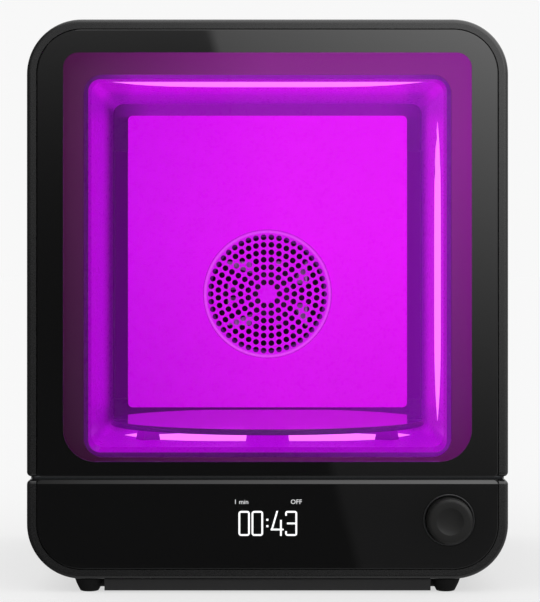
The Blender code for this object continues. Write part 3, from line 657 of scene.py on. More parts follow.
def painted_light_lining():
    """Painted light: each wall glows with the chamber's violet light near the mouth and fades towards the
    back into painted shade, more on the left than on the right.
    """
    made = painted_light_base("lit_chamber_lining", 0.30)
    coords = add_node(made, "ShaderNodeTexCoord")
    place = coords.outputs["Object"]
    facing = axes_of(made, coords.outputs["Normal"])
    left = ramp_along(made, place, "Y", ((-0.138, PAINTED_VIOLET_LIGHT_LEFT), (-0.022, PAINTED_VIOLET_LIGHT_LEFT), (0.062, PAINTED_SHADE_LEFT)))
    right = ramp_along(made, place, "Y", ((-0.138, PAINTED_VIOLET_LIGHT_RIGHT), (0.010, PAINTED_VIOLET_LIGHT_RIGHT), (0.075, PAINTED_SHADE_RIGHT)))
    top_front = (0.372, 0.0006, 0.520)
    top_back = (0.225, 0.0015, 0.365)
    ceiling = ramp_along(made, place, "Y", ((-0.138, top_front), (-0.051, top_front), (0.005, top_back)))
    floor = ramp_along(made, place, "Y", ((-0.138, PAINTED_VIOLET_LIGHT_FLOOR), (0.010, PAINTED_VIOLET_LIGHT_FLOOR), (0.090, PAINTED_SHADE_LEFT)))
    colour = ramp_along(made, place, "X", PAINTED_SHADE_STOPS)
    # Painted light: the band above the back panel glows brighter than the back wall.
    stops = ((-0.119, PAINTED_SHADE_LEFT), (-0.090, PAINTED_STRIP_LIGHT), (0.090, PAINTED_STRIP_LIGHT), (0.119, PAINTED_SHADE_RIGHT))
    strip = ramp_along(made, place, "X", stops)
    above = level(made, axes_of(made, place)["Z"], REFLECTOR_HIGH.z - 0.002, REFLECTOR_HIGH.z)
    colour = blend_colours(made, colour, strip, above)
    for wall_colour, axis, way in ((left, "X", 1), (right, "X", -1), (ceiling, "Z", -1), (floor, "Z", 1)):
        colour = blend_colours(made, colour, wall_colour, product(made, facing[axis], way * 1.4, True))
    unlit = add_node(made, "ShaderNodeRGB")
    unlit.outputs["Color"].default_value = (0, 0, 0, 1)
    outside = product(made, facing["Y"], 2.0, True)
    glow(made, blend_colours(made, colour, unlit.outputs["Color"], outside))
    return made


def painted_light_panel():
    # Painted light: the panel glows with the violet light that falls on it, brighter to the right and with
    # painted shade towards the bottom.
    made = painted_light_base("lit_back_panel", 0.30)
    place = object_place(made)
    across = ramp_along(
        made,
        place,
        "X",
        ((-0.108, (0.600, 0.0009, 0.830)), (0.010, (0.770, 0.0015, 0.960)), (0.108, (0.800, 0.0020, 0.970))),
    )
    upward = ramp_along(made, place, "Z", ((0.107, (0.84, 1, 0.86)), (0.230, (1, 1, 1)), (0.332, (1, 1, 1))))
    glow(made, blend_colours(made, across, upward, kind="MULTIPLY"))
    return made


def bulkhead_finish():
    """The plate round the mouth catches stray light: little on the left, more at the top and the right."""
    made = finish("lit_bulkhead_plate", (0.006, 0.002, 0.006), 0.45, specular_ior_level=0.2)
    grain(made, 900.0, 0.00003, 0.05)
    place = object_place(made)
    across = ramp_along(
        made,
        place,
        "X",
        ((-0.137, (0.062, 0.0055, 0.052)), (0.0, (0.225, 0.017, 0.235)), (0.137, (0.240, 0.0120, 0.268))),
    )
    dim, half = (0.38, 0.38, 0.34), (0.52, 0.66, 0.52)
    stops = ((0.078, (0, 0, 0)), (0.085, dim), (0.130, half), (0.300, (1, 1, 1)), (0.350, (1, 1, 1)))
    upward = ramp_along(made, place, "Z", stops)
    lit = blend_colours(made, across, upward, kind="MULTIPLY")
    # Painted light: a faint grey glow on the hem below the plate, seen in the seam between the door and the
    # control strip.
    hem = ramp_along(made, place, "Z", ((0.076, (0.050, 0.053, 0.056)), (0.078, (0, 0, 0))))
    glow(made, blend_colours(made, lit, hem, kind="ADD"))
    return made


def lamp_finish():
    """A frosted light window: bright, with a faint row of brighter spots from the diodes behind it."""
    made = finish("lit_frosted_window", (0.9, 0.6, 0.95), 0.25)
    spots = add_node(made, "ShaderNodeTexVoronoi", Scale=55.0, Randomness=0.0)
    wire(made, object_place(made), spots.inputs["Vector"])
    ramp = add_node(made, "ShaderNodeValToRGB")
    ramp.color_ramp.elements[0].color = (*LAMP_GLOW, 1)
    ramp.color_ramp.elements[1].color = (*[value * 0.92 for value in LAMP_GLOW], 1)
    wire(made, spots.outputs["Distance"], ramp.inputs["Fac"])
    glow(made, ramp.outputs["Color"])
    return made


LINING = painted_light_lining()
LAMP = lamp_finish()


def light_window(name, low, high, length, across, middle, start, span):
    """A bar that narrows towards its ends: each station along it is squeezed towards the middle line."""
    piece = block(name, low, high)
    pick(piece, "EDGE", lambda edge: runs_along(edge, length))
    bpy.ops.mesh.subdivide(number_cuts=36)
    shape = bmesh.from_edit_mesh(piece.data)
    stations = sorted({round(corner.co[length], 6) for corner in shape.verts})
    for station in stations:
        width = max(0.04, 1 - abs((station - start) / span) ** 4.5)
        choose(piece, "VERT", lambda corner: abs(corner.co[length] - station) < 0.00001)
        squeeze, centre = [1, 1, 1], [0, 0, 0]
        squeeze[across], centre[across] = width, middle
        bpy.ops.transform.resize(value=squeeze, center_override=centre)
    lay_off()
    return piece


def window_tools(name, grow, depth):
    """The ceiling, right-hand and floor windows, grown by a gap and reaching past the wall by a depth."""
    low, high = TOP_LIGHT_LOW, TOP_LIGHT_HIGH
    top = light_window(
        f"ceiling_{name}",
        (low.x - grow, low.y - grow, CHAMBER_TOP - depth),
        (high.x + grow, high.y + grow, high.z + depth),
        0, 1, low.y - grow, 0.0, high.x + grow,
    )
    low, high = SIDE_LIGHT_LOW, SIDE_LIGHT_HIGH
    middle = (low + high) / 2
    side = light_window(
        f"right_{name}",
        (CHAMBER_HALF - depth, low.y - grow, low.z - grow),
        (high.x + depth, high.y + grow, high.z + grow),
        2, 1, middle.y, middle.z, high.z + grow - middle.z,
    )
    inner, outer, half = HUB_R - grow, 0.1030 + grow, 0.0590 + grow
    floor = []
    for way in (-1, 1):
        ends = sorted((way * inner, way * outer))
        floor.append(light_window(
            f"floor_{name}",
            (ends[0], TABLE_Y - half, FLOOR_LIGHT_LOW.z - depth),
            (ends[1], TABLE_Y + half, CHAMBER_FLOOR + depth),
            0, 1, TABLE_Y, 0.0, outer,
        ))
    return top, side, floor


def mouth_slab(name, grow, front, back):
    """The mouth's outline, grown on all sides."""
    span, corner = (MOUTH_LOW - grow, MOUTH_HIGH + grow), MOUTH_R + grow
    return centred(name, MOUTH_HALF + grow, span, (front, back), corner, corner)


def make_lining():
    """The chamber's lining: round inner edges, a flared mouth with a lip, and openings for lights and air."""
    wall, radius = LINER_WALL, CHAMBER_R
    front, back = BULKHEAD_LOW.y, CHAMBER_BACK
    span, outer = (CHAMBER_FLOOR - wall, CHAMBER_TOP + wall), radius + wall
    lining = centred("chamber_lining", CHAMBER_HALF + wall, span, (front, back + wall), outer, outer)
    for name, grow, deep in (("collar", 0.0012, 0.0050), ("lip", MOUTH_LIP, 0.0012)):
        fuse(lining, mouth_slab(name, grow, front, front + deep))
    span = CHAMBER_FLOOR, CHAMBER_TOP
    hollow = centred("hollow_tool", CHAMBER_HALF, span, (FLARE_BACK, back), radius, radius)
    pick(hollow, "FACE", lambda face: face.normal.y < -0.9)
    bpy.ops.mesh.extrude_region_move()
    rise = (MOUTH_LOW + MOUTH_HIGH - CHAMBER_FLOOR - CHAMBER_TOP) / 2
    bpy.ops.transform.translate(value=(0, front - 0.0002 - FLARE_BACK, rise))
    wider = MOUTH_HALF / CHAMBER_HALF
    taller = (MOUTH_HIGH - MOUTH_LOW) / (CHAMBER_TOP - CHAMBER_FLOOR)
    bpy.ops.transform.resize(value=(wider, 1, taller), center_override=(0, 0, (MOUTH_LOW + MOUTH_HIGH) / 2))
    lay_off()
    top, side, floor = window_tools("slot_tool", SLOT_GAP, 0.004)
    below, above = CHAMBER_FLOOR - 0.01, CHAMBER_FLOOR + 0.01
    carve(
        lining,
        hollow,
        drum("fan_tool", (0, GRILLE_Z), 0.0440, back - 0.01, back + 0.01, sides=96),
        drum("spindle_tool", (0, TABLE_Y), SPINDLE_HOLE_R, below, above, "Z", 32),
        top,
        side,
        *floor,
    )
    install(
        polish(lining, 40), "cabinet", "chamber_liner", LINING,
        "chamber_ceiling", "chamber_floor", "chamber_left_wall", "chamber_right_wall", "chamber_back_wall",
    )


def make_light_windows():
    top, side, floor = window_tools("light", 0.0, 0.0)
    install(polish(top), "cabinet", "diffuser", LAMP, "led_window_top")
    install(polish(side), "cabinet", "diffuser", LAMP, "led_window_right")
    low, high = FLOOR_LIGHT_LOW, FLOOR_LIGHT_HIGH
    plate = slab("floor_light", low, (high.x, high.y, low.z + 0.0020), 0.008, 0.008, axis=2)
    fuse(plate, *floor)
    plate.name = plate.data.name = "floor_lights"
    carve(plate, drum("hub_tool", (0, TABLE_Y), SPINDLE_HOLE_R, low.z - 0.01, high.z + 0.01, "Z", 32))
    install(polish(plate), "cabinet", "diffuser", LAMP, "led_window_bottom")


def make_bulkhead():
    hem = Vector((0, 0, 0.0055))
    plate = slab("bulkhead_plate", BULKHEAD_LOW - hem, BULKHEAD_HIGH, CORNER_LOW, 0.0340)
    front = BULKHEAD_LOW.y - 0.01
    carve(plate, mouth_slab("mouth_tool", MOUTH_LIP + 0.0003, front, BULKHEAD_HIGH.y + 0.01))
    for low, high in HINGE_SPANS:
        carve(plate, block("leaf_tool", (-0.165, front, low - 0.0005), (-0.1527, 0.0, high + 0.0005)))
    install(polish(plate, 30), "cabinet", "dark_casing", bulkhead_finish(), "front_bulkhead")


def make_back_panel():
    """The bright panel at the back of the chamber and the perforated fan grille in its middle."""
    material = painted_light_panel()
    panel = slab("back_panel", REFLECTOR_LOW, REFLECTOR_HIGH, 0.0035, 0.0035)
    soften(panel, 0.0004, 2, face_rim(1, REFLECTOR_LOW.y))
    carve(panel, drum("grille_seat_tool", (0, GRILLE_Z), GRILLE_R + 0.0002, 0.05, 0.12, sides=96))
    install(polish(panel, 30), "cabinet", "reflector", material, "back_reflector")
    front, back = GRILLE_LOW.y, GRILLE_HIGH.y
    plate = lathe(
        "fan_grille_plate",
        [(0.0470, front + 0.0005), (0.0476, front + 0.0001), (0.0482, front), (0.0490, front),
         (GRILLE_R, front + 0.0004), (GRILLE_R, back)],
        (0, GRILLE_Z),
        sides=96,
    )
    holes = []
    for ring, count in enumerate((10, 16, 22, 28, 34, 40, 46)):
        radius = 0.0093 + 0.00575 * ring
        for index in range(count):
            angle = 2 * math.pi * (index + 0.5 * (ring % 2)) / count
            place = (radius * math.cos(angle), GRILLE_Z + radius * math.sin(angle))
            holes.append((place, radius))
    seed = drum("hole_tool", (0, 0), 0.00225, front - 0.003, back + 0.003, sides=16)
    tools = [
        twin_of(seed, "hole_tool", Matrix.Translation((place[0], 0, place[1]))) for place, radius in holes
    ]
    first = tools.pop()
    bpy.data.objects.remove(seed)
    carve(plate, gather(first, tools))
    install(polish(plate, 30), "cabinet", "reflector", GRILLE, "fan_grille")


def painted_light_grille():
    """As the panel, glowing with painted violet light, with a painted highlight on the embossed ring at the
    edge.
    """
    made = painted_light_base("lit_grille_plate", 0.28)
    place = object_place(made)
    centre = add_node(made, "ShaderNodeVectorMath", operation="DISTANCE")
    flat = add_node(made, "ShaderNodeVectorMath", operation="MULTIPLY")
    flat.inputs[1].default_value = (1, 0, 1)
    wire(made, place, flat.inputs[0])
    wire(made, flat.outputs["Vector"], centre.inputs[0])
    centre.inputs[1].default_value = (0, 0, GRILLE_Z)
    ramp = add_node(made, "ShaderNodeValToRGB")
    wire(made, level(made, centre.outputs["Value"], 0.0465, GRILLE_R), ramp.inputs["Fac"])
    steps = ramp.color_ramp.elements
    steps[0].position, steps[0].color = 0.0, (0.645, 0.001, 0.86, 1)
    steps[1].position, steps[1].color = 0.5, (0.75, 0.075, 0.92, 1)
    last = steps.new(1.0)
    last.color = (0.60, 0.001, 0.80, 1)
    glow(made, ramp.outputs["Color"])
    return made


GRILLE = painted_light_grille()


def make_columns():
    """A light column in each rear corner, with a short tab near its foot and at its head."""
    low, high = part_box("led_column_left")
    made = painted_light_base("dim_corner_column", 0.35)
    # Painted light: each column glows with the dim violet of the chamber's rear, darker on the left as
    # painted shade.
    glow(made, ramp_along(made, object_place(made), "X", PAINTED_SHADE_STOPS))
    for side, way in (("left", -1), ("right", 1)):
        outer = way * max(abs(low.x), abs(high.x))
        inner = way * min(abs(low.x), abs(high.x))
        xs = sorted((outer, inner))
        column = block(f"corner_column_{side}", (xs[0], low.y, low.z), (xs[1], high.y, high.z))

        def inner_front(edge):
            middle = middle_of(edge)
            return runs_along(edge, 2) and abs(middle.x - inner) < 0.0001 and middle.y < low.y + 0.001

        soften(column, 0.0085, 1, inner_front)
        soften(column, 0.0004, 2, lambda edge: not low.z + 0.0001 < middle_of(edge).z < high.z - 0.0001)
        install(polish(column, 30), "cabinet", "diffuser", made, f"led_column_{side}")


# Turntable

def painted_light_table_glass():
    """Clear glass whose violet tint is painted light from the chamber, darker where one looks through its
    edge.
    """
    made = finish("violet_lit_glass", (0.72, 0.20, 0.88), 0.02, ior=1.30, transmission_weight=0.85)
    grain(made, 30.0, 0.0, 0.015, detail=5.0)
    return made


def make_turntable():
    """The three-legged carrier on its hub, and the round glass that lies on it."""
    low, high = CARRIER_LOW, CARRIER_HIGH
    arm_low, half = 0.0985, 0.0055
    leg = block("leg", (LEG_RADIUS - 0.0056, -half, 0.0948), (LEG_RADIUS + 0.0056, half, high.z))
    pick(leg, "FACE", lambda face: face.normal.z < -0.9)
    bpy.ops.transform.resize(value=(1.22, 1.12, 1), center_override=(LEG_RADIUS, 0, 0))
    lay_off()
    soften(leg, 0.0010, 3, lambda edge: not runs_along(edge, 0) and not runs_along(edge, 1))
    arm = block("arm", (0.006, -half + 0.0003, arm_low), (LEG_RADIUS, half - 0.0003, high.z - 0.0002))
    soften(arm, 0.0008, 3, lambda edge: runs_along(edge, 0))
    fuse(leg, arm)
    carrier = lathe(
        "turntable_spider",
        [(0.0035, low.z), (0.0035, 0.0965), (HUB_R - 0.0006, 0.0965), (HUB_R, 0.0971),
         (HUB_R, high.z - 0.0006), (HUB_R - 0.0006, high.z)],
        (0, TABLE_Y),
        "Z",
    )
    for angle in LEG_ANGLES:
        turn = Matrix.Translation((0, TABLE_Y, 0)) @ Matrix.Rotation(math.radians(angle), 4, "Z")
        fuse(carrier, twin_of(leg, "leg_copy", turn))
    bpy.data.objects.remove(leg)
    # Painted light: the carrier glows with the chamber's violet light, darker towards its foot as painted
    # shade.
    spider = painted_light_base("violet_lit_spider", 0.40)
    stops = ((0.094, (0.20, 0.001, 0.33)), (0.102, (0.30, 0.0015, 0.48)))
    glow(spider, ramp_along(spider, object_place(spider), "Z", stops))
    install(polish(carrier, 35), "turntable", "grey_plastic", spider, "turntable_carrier")
    low, high = DISC_LOW.z, DISC_HIGH.z
    bead = 0.0010
    profile = [(TABLE_R - bead, low)]
    for turn in (22.5, 45, 67.5, 90):
        angle = math.radians(turn)
        profile.append((TABLE_R - bead + bead * math.sin(angle), low + bead - bead * math.cos(angle)))
    for turn in (0, 22.5, 45, 67.5, 90):
        angle = math.radians(turn)
        profile.append((TABLE_R - bead + bead * math.cos(angle), high - bead + bead * math.sin(angle)))
    disc = lathe("turntable_disc", profile, (0, TABLE_Y), "Z", 160)
    install(disc, "table_glass", "turntable_glass", painted_light_table_glass(), "turntable_glass")


# Knob and display

KNOB_BLACK = scuffed(
    "satin_gloss_knob", (0.012, 0.0119, 0.0115), 0.38, 0.0, 1600.0, 0.00001, 0.05, specular_ior_level=0.35
)
WELL_FINISH = scuffed("dark_anodised_ring", (0.066, 0.066, 0.068), 0.26, 0.6, scale=1500.0, height=0.00002)


def make_knob():
    """The knob's cap with its shallow dimple, in a round well with a chamfered ring."""
    front, back = CAP_LOW.y, CAP_HIGH.y
    profile = [
        (0.0010, front + 0.00090), (0.0035, front + 0.00084), (0.0060, front + 0.00066),
        (0.0078, front + 0.00038), (0.0086, front + 0.00014), (0.0092, front),
        (KNOB_R - 0.0024, front), (KNOB_R - 0.0014, front + 0.00020),
        (KNOB_R - 0.0006, front + 0.00075), (KNOB_R - 0.0001, front + 0.00160), (KNOB_R, front + 0.0026),
        (KNOB_R, back - 0.0005), (KNOB_R - 0.0005, back), (0.0032, back), (0.0032, front + 0.0032),
    ]
    cap = lathe("knob_turning_cap", profile, (KNOB_X, KNOB_Z), sides=128)
    install(cap, "knob", "knob_black", KNOB_BLACK, "knob_cap")
    rear, rim = WELL_HIGH.y, WELL_LOW.y
    ring = [
        (0.0040, rear), (WELL_R, rear), (WELL_R, rim + 0.0004), (WELL_R - 0.0004, rim), (0.0164, rim),
        (0.0158, rim + 0.0008), (0.0158, rear - 0.0020), (0.0040, rear - 0.0020),
    ]
    well = lathe("knob_well_ring", ring, (KNOB_X, KNOB_Z), sides=128, ring=True)
    install(well, "cabinet", "knob_black", WELL_FINISH, "knob_well")


DIGIT_LOW, DIGIT_HIGH = 0.0378, 0.0544
STROKE = 0.0012
DIGIT_FRONT, DIGIT_BACK = FRONT - 0.00006, FRONT + 0.00030


def stroke(low_x, high_x, low_z, high_z, past=0.0):
    """A bar as thick as the figures, or past them on both sides as a tool."""
    return block("stroke", (low_x, DIGIT_FRONT - past, low_z), (high_x, DIGIT_BACK + past, high_z))


def zero(left, right):
    """A tall rounded ring."""
    digit = slab("digit", (left, DIGIT_FRONT, DIGIT_LOW), (right, DIGIT_BACK, DIGIT_HIGH), 0.0018, 0.0018)
    inner = slab(
        "digit_tool",
        (left + STROKE, DIGIT_FRONT - 0.01, DIGIT_LOW + STROKE),
        (right - STROKE, DIGIT_BACK + 0.01, DIGIT_HIGH - STROKE),
        0.0006,
        0.0006,
    )
    carve(digit, inner)
    return digit


def four(left, right):
    """A slanted stroke, a crossbar and a short upright through it."""
    height = DIGIT_HIGH - DIGIT_LOW
    bar_low = DIGIT_LOW + 0.22 * height
    slant = stroke(left, left + STROKE, bar_low + STROKE / 2, DIGIT_HIGH)
    pick(slant, "FACE", lambda face: face.normal.z > 0.9)
    bpy.ops.transform.translate(value=(0.0036, 0, 0))
    lay_off()
    upright_right = right - 0.0012
    fuse(
        slant,
        stroke(left - 0.0002, right, bar_low, bar_low + STROKE),
        stroke(upright_right - STROKE, upright_right, DIGIT_LOW, bar_low + 0.42 * height),
    )
    return slant


def three(left, right):
    """Squared, with a short hook at each left end."""
    middle = (DIGIT_LOW + DIGIT_HIGH) / 2
    digit = slab("digit", (left, DIGIT_FRONT, DIGIT_LOW), (right, DIGIT_BACK, DIGIT_HIGH), 0.0016, 0.0016)
    notch = 0.0020
    for low, high in ((DIGIT_LOW + STROKE, middle - STROKE / 2), (middle + STROKE / 2, DIGIT_HIGH - STROKE)):
        lower = low < middle - 0.002 and high < middle
        carve(digit, stroke(left + STROKE, right - STROKE, low, high, 0.01))
        cut_low = low + notch if lower else low - STROKE / 2
        cut_high = high + STROKE / 2 if lower else high - notch
        carve(digit, stroke(left - 0.01, left + STROKE, cut_low, cut_high, 0.01))
    return digit


def small_word(words, left, height, low_z):
    """Small generic wording, turned to face the front and made a thin solid."""
    lay_off()
    bpy.ops.object.text_add()
    text = bpy.context.object
    text.data.body = words
    text.data.size = height * 1.45
    text.data.extrude = 0.00012
    text.data.resolution_u = 2
    take(text)
    bpy.ops.object.convert(target="MESH")
    text.rotation_euler.x = math.pi / 2
    text.location = (left, FRONT + 0.00008, low_z)
    return settle("small_word")


def make_display():
    """Lit figures behind the control glass: minutes and seconds, with two small words above."""
    figures = [zero(-0.0193, -0.0117), zero(-0.0106, -0.0029), four(0.0023, 0.0107), three(0.0117, 0.0197)]
    for low in (0.0436, 0.0478):
        figures.append(stroke(-0.0008, 0.0006, low, low + 0.0014))
    first = figures.pop(0)
    gather(first, figures)
    first.name = "display_figures"
    first.data.name = "display_figures"
    lit = finish("lit_white_figures", (0.6, 0.6, 0.6), 0.4)
    stops = ((DIGIT_LOW, (0.60, 0.60, 0.62)), (DIGIT_HIGH, (0.70, 0.70, 0.71)))
    glow(lit, ramp_along(lit, object_place(lit), "Z", stops))
    install(polish(first, 30), "cabinet", "display_grey", lit)
    dim = finish("lit_grey_words", (0.5, 0.5, 0.5), 0.4)
    stops = ((-0.03, (0.36, 0.36, 0.37)), (0.03, (0.42, 0.42, 0.43)))
    glow(dim, ramp_along(dim, object_place(dim), "X", stops))
    words = gather(small_word("1 min", -0.0224, 0.0030, 0.0590), [small_word("OFF", 0.0153, 0.0030, 0.0590)])
    words.name = "display_words"
    words.data.name = "display_words"
    install(polish(words, 30), "cabinet", "display_grey", dim)


# Feet, rear and fans


def make_feet():
    top = CONTROL_LOW.z - 0.0003
    profile = [
        (0.0050, 0), (0.0060, 0.0003), (0.0066, 0.0012), (0.0086, 0.0052),
        (0.0096, top - 0.0008), (0.00975, top - 0.0003), (0.00975, top),
    ]
    for side in ("front_left", "front_right", "rear_left", "rear_right"):
        low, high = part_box(f"foot_{side}")
        foot = lathe(f"rubber_foot_{side}", profile, ((low.x + high.x) / 2, (low.y + high.y) / 2), "Z", 64)
        install(foot, "cabinet", "black_rubber", RUBBER, f"foot_{side}")


def make_rear():
    """The rear cover with its slots, the exhaust guard, the mains socket with pins, and the screws."""
    cover = slab("rear_plate", REAR_LOW, REAR_HIGH, 0.0340, 0.0340)
    front, back = REAR_LOW.y - 0.01, REAR_HIGH.y + 0.01
    low, high = INLET_LOW + Vector((0.0026, 0, 0.0028)), INLET_HIGH - Vector((0.0026, 0, 0.0028))
    tools = [
        drum("exhaust_tool", (EXHAUST_X, EXHAUST_Z), 0.0285, front, back),
        slab("socket_tool", (low.x, front, low.z), (high.x, back, high.z), 0.003, 0.003),
    ]
    low, high = SWITCH_LOW + Vector((0.0019, 0, 0.0020)), SWITCH_HIGH - Vector((0.0019, 0, 0.0020))
    tools.append(slab("switch_tool", (low.x, front, low.z), (high.x, back, high.z), 0.001, 0.001))
    for index in range(7):
        middle = -0.115 + 0.011 * index
        low, high = (middle - 0.0022, front, 0.031), (middle + 0.0022, back, 0.059)
        tools.append(slab("slot_tool", low, high, 0.0021, 0.0021))
    carve(cover, *tools)
    install(polish(cover, 30), "cabinet", "dark_casing", PAINT, "rear_cover")

    guard = slab("exhaust_finger_guard", GUARD_LOW, GUARD_HIGH, 0.006, 0.006)
    soften(guard, 0.0006, 3, face_rim(1, GUARD_HIGH.y))
    front, back = GUARD_LOW.y - 0.002, GUARD_HIGH.y + 0.002
    for inner, outer in ((0.0100, 0.0145), (0.0165, 0.0210), (0.0230, 0.0275)):
        ring = lathe(
            "guard_tool",
            [(inner, front), (outer, front), (outer, back), (inner, back)],
            (EXHAUST_X, EXHAUST_Z),
            ring=True,
        )
        for turn in (45, 135):
            bar = block("bar_tool", (-0.05, front - 0.001, -0.0014), (0.05, back + 0.001, 0.0014))
            centre = Matrix.Translation((EXHAUST_X, 0, EXHAUST_Z))
            bar.data.transform(centre @ Matrix.Rotation(math.radians(turn), 4, "Y"))
            carve(ring, bar)
        carve(guard, ring)
    install(polish(guard, 30), "cabinet", "dark_plastic", PLASTIC, "exhaust_guard")

    low, high = INLET_LOW, INLET_HIGH
    inlet = slab("mains_inlet", (low.x, REAR_HIGH.y + 0.0003, low.z), high, 0.003, 0.003)
    soften(inlet, 0.0005, 2, face_rim(1, high.y))
    inset = Vector((0.0030, 0, 0.0032))
    fuse(inlet, slab("inlet_body", low + inset, high - inset - Vector((0, 0.001, 0)), 0.003, 0.003))
    recess_low = low + Vector((0.0045, 0.006, 0.0047))
    recess_high = high + Vector((-0.0045, 0.01, -0.0047))
    carve(inlet, slab("recess_tool", recess_low, recess_high, 0.003, 0.003))
    middle = (low + high) / 2
    for x, z in ((-0.0070, -0.0020), (0.0, 0.0020), (0.0070, -0.0020)):
        pin_low = (middle.x + x - 0.0010, low.y + 0.005, middle.z + z - 0.0020)
        pin_high = (middle.x + x + 0.0010, high.y - 0.005, middle.z + z + 0.0020)
        pin = block("pin", pin_low, pin_high)
        soften(pin, 0.0004, 2, lambda edge: True)
        fuse(inlet, pin)
    install(polish(inlet, 30), "cabinet", "dark_plastic", PLASTIC, "power_inlet")

    for side in ("left", "right"):
        low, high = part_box(f"rear_screw_{side}")
        middle = (low + high) / 2
        seat = REAR_HIGH.y + 0.0003
        profile = [
            (0.0014, low.y), (0.0014, seat), (0.0031, seat), (0.0033, seat + 0.0002),
            (0.0032, high.y - 0.0008), (0.0026, high.y - 0.0002), (0.0016, high.y),
        ]
        screw = lathe(f"rear_cross_screw_{side}", profile, (middle.x, middle.z), sides=48)
        for wide, tall in ((0.0019, 0.0004), (0.0004, 0.0019)):
            recess_low = (middle.x - wide, high.y - 0.0011, middle.z - tall)
            recess_high = (middle.x + wide, high.y + 0.01, middle.z + tall)
            carve(screw, block("recess_tool", recess_low, recess_high))
        install(polish(screw, 30), "cabinet", "steel", STEEL, f"rear_screw_{side}")


def make_rotor(name, node, body, hub, blades):
    """A fan rotor: a hub with a rounded nose and curved blades set at a slant."""
    low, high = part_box(node)
    middle = (low + high) / 2
    tip = min(high.x - middle.x, high.z - middle.z) - 0.0003
    rotor = lathe(
        name,
        [(hub - 0.002, low.y), (hub - 0.0006, low.y + 0.0006), (hub, low.y + 0.002), (hub, high.y)],
        (middle.x, middle.z),
    )
    blade = block("blade", (hub - 0.001, low.y + 0.0012, -0.0006), (tip, high.y - 0.0012, 0.0006))
    pick(blade, "EDGE", lambda edge: runs_along(edge, 0))
    bpy.ops.mesh.subdivide(number_cuts=7)
    shape = bmesh.from_edit_mesh(blade.data)
    for station in sorted({round(corner.co.x, 6) for corner in shape.verts}):
        slant = 52 - 24 * (station - hub) / (tip - hub)
        choose(blade, "VERT", lambda corner: abs(corner.co.x - station) < 0.00001)
        squash = math.cos(math.radians(slant))
        pivot = (0, middle.y, 0)
        bpy.ops.transform.rotate(value=math.radians(-slant), orient_axis="X", center_override=pivot)
        bpy.ops.transform.resize(value=(1, 1, 1 + 0.3 * squash), center_override=pivot)
    lay_off()
    for index in range(blades):
        around = Matrix.Rotation(2 * math.pi * index / blades, 4, "Y")
        turn = Matrix.Translation((middle.x, 0, middle.z)) @ around
        fuse(rotor, twin_of(blade, "blade_copy", turn))
    bpy.data.objects.remove(blade)
    install(polish(rotor, 35), body, "dark_plastic", PLASTIC, node)


# Finishes for the CAD pieces that stay


def board_finish():
    """Green solder mask with copper tracks showing through."""
    made = finish("green_circuit_board", (0.02, 0.11, 0.05), 0.42)
    tracks = add_node(made, "ShaderNodeTexBrick", Scale=160.0)
    tracks.inputs["Mortar Size"].default_value = 0.03
    wire(made, object_place(made), tracks.inputs["Vector"])
    tracks.inputs["Color1"].default_value = (0.015, 0.105, 0.045, 1)
    tracks.inputs["Color2"].default_value = (0.022, 0.135, 0.060, 1)
    tracks.inputs["Mortar"].default_value = (0.060, 0.210, 0.085, 1)
    wire(made, tracks.outputs["Color"], shader_of(made).inputs["Base Color"])
    return made


def dress_cad_pieces():
    choices = {
        INNER_GLASS: ("door_inner_pane",),
        PLASTIC: (
            "door_liner", "bottom_pan", "circulation_fan_housing", "exhaust_fan_housing",
            "power_switch_housing",
        ),
        GREY: ("display_module", "encoder_body", "power_rocker"),
        STEEL: (
            "deck_plate", "door_magnet", "encoder_plunger", "hinge_bracket_lower", "hinge_bracket_upper",
            "hinge_pin_lower", "hinge_pin_upper", "turntable_motor",
        ),
        ALUMINIUM: ("heater_element", "power_supply"),
        board_finish(): (
            "control_board", "led_board_bottom", "led_board_right", "led_board_top", "main_board",
        ),
    }
    for material, nodes in choices.items():
        for node in nodes:
            dress(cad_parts[node], material)


# Studio


STUDIO_WHITE = 0.939
CAMERA_HEIGHT = 0.221
CAMERA_BACK = 1.600
CARD_DISTANCE = 4.0


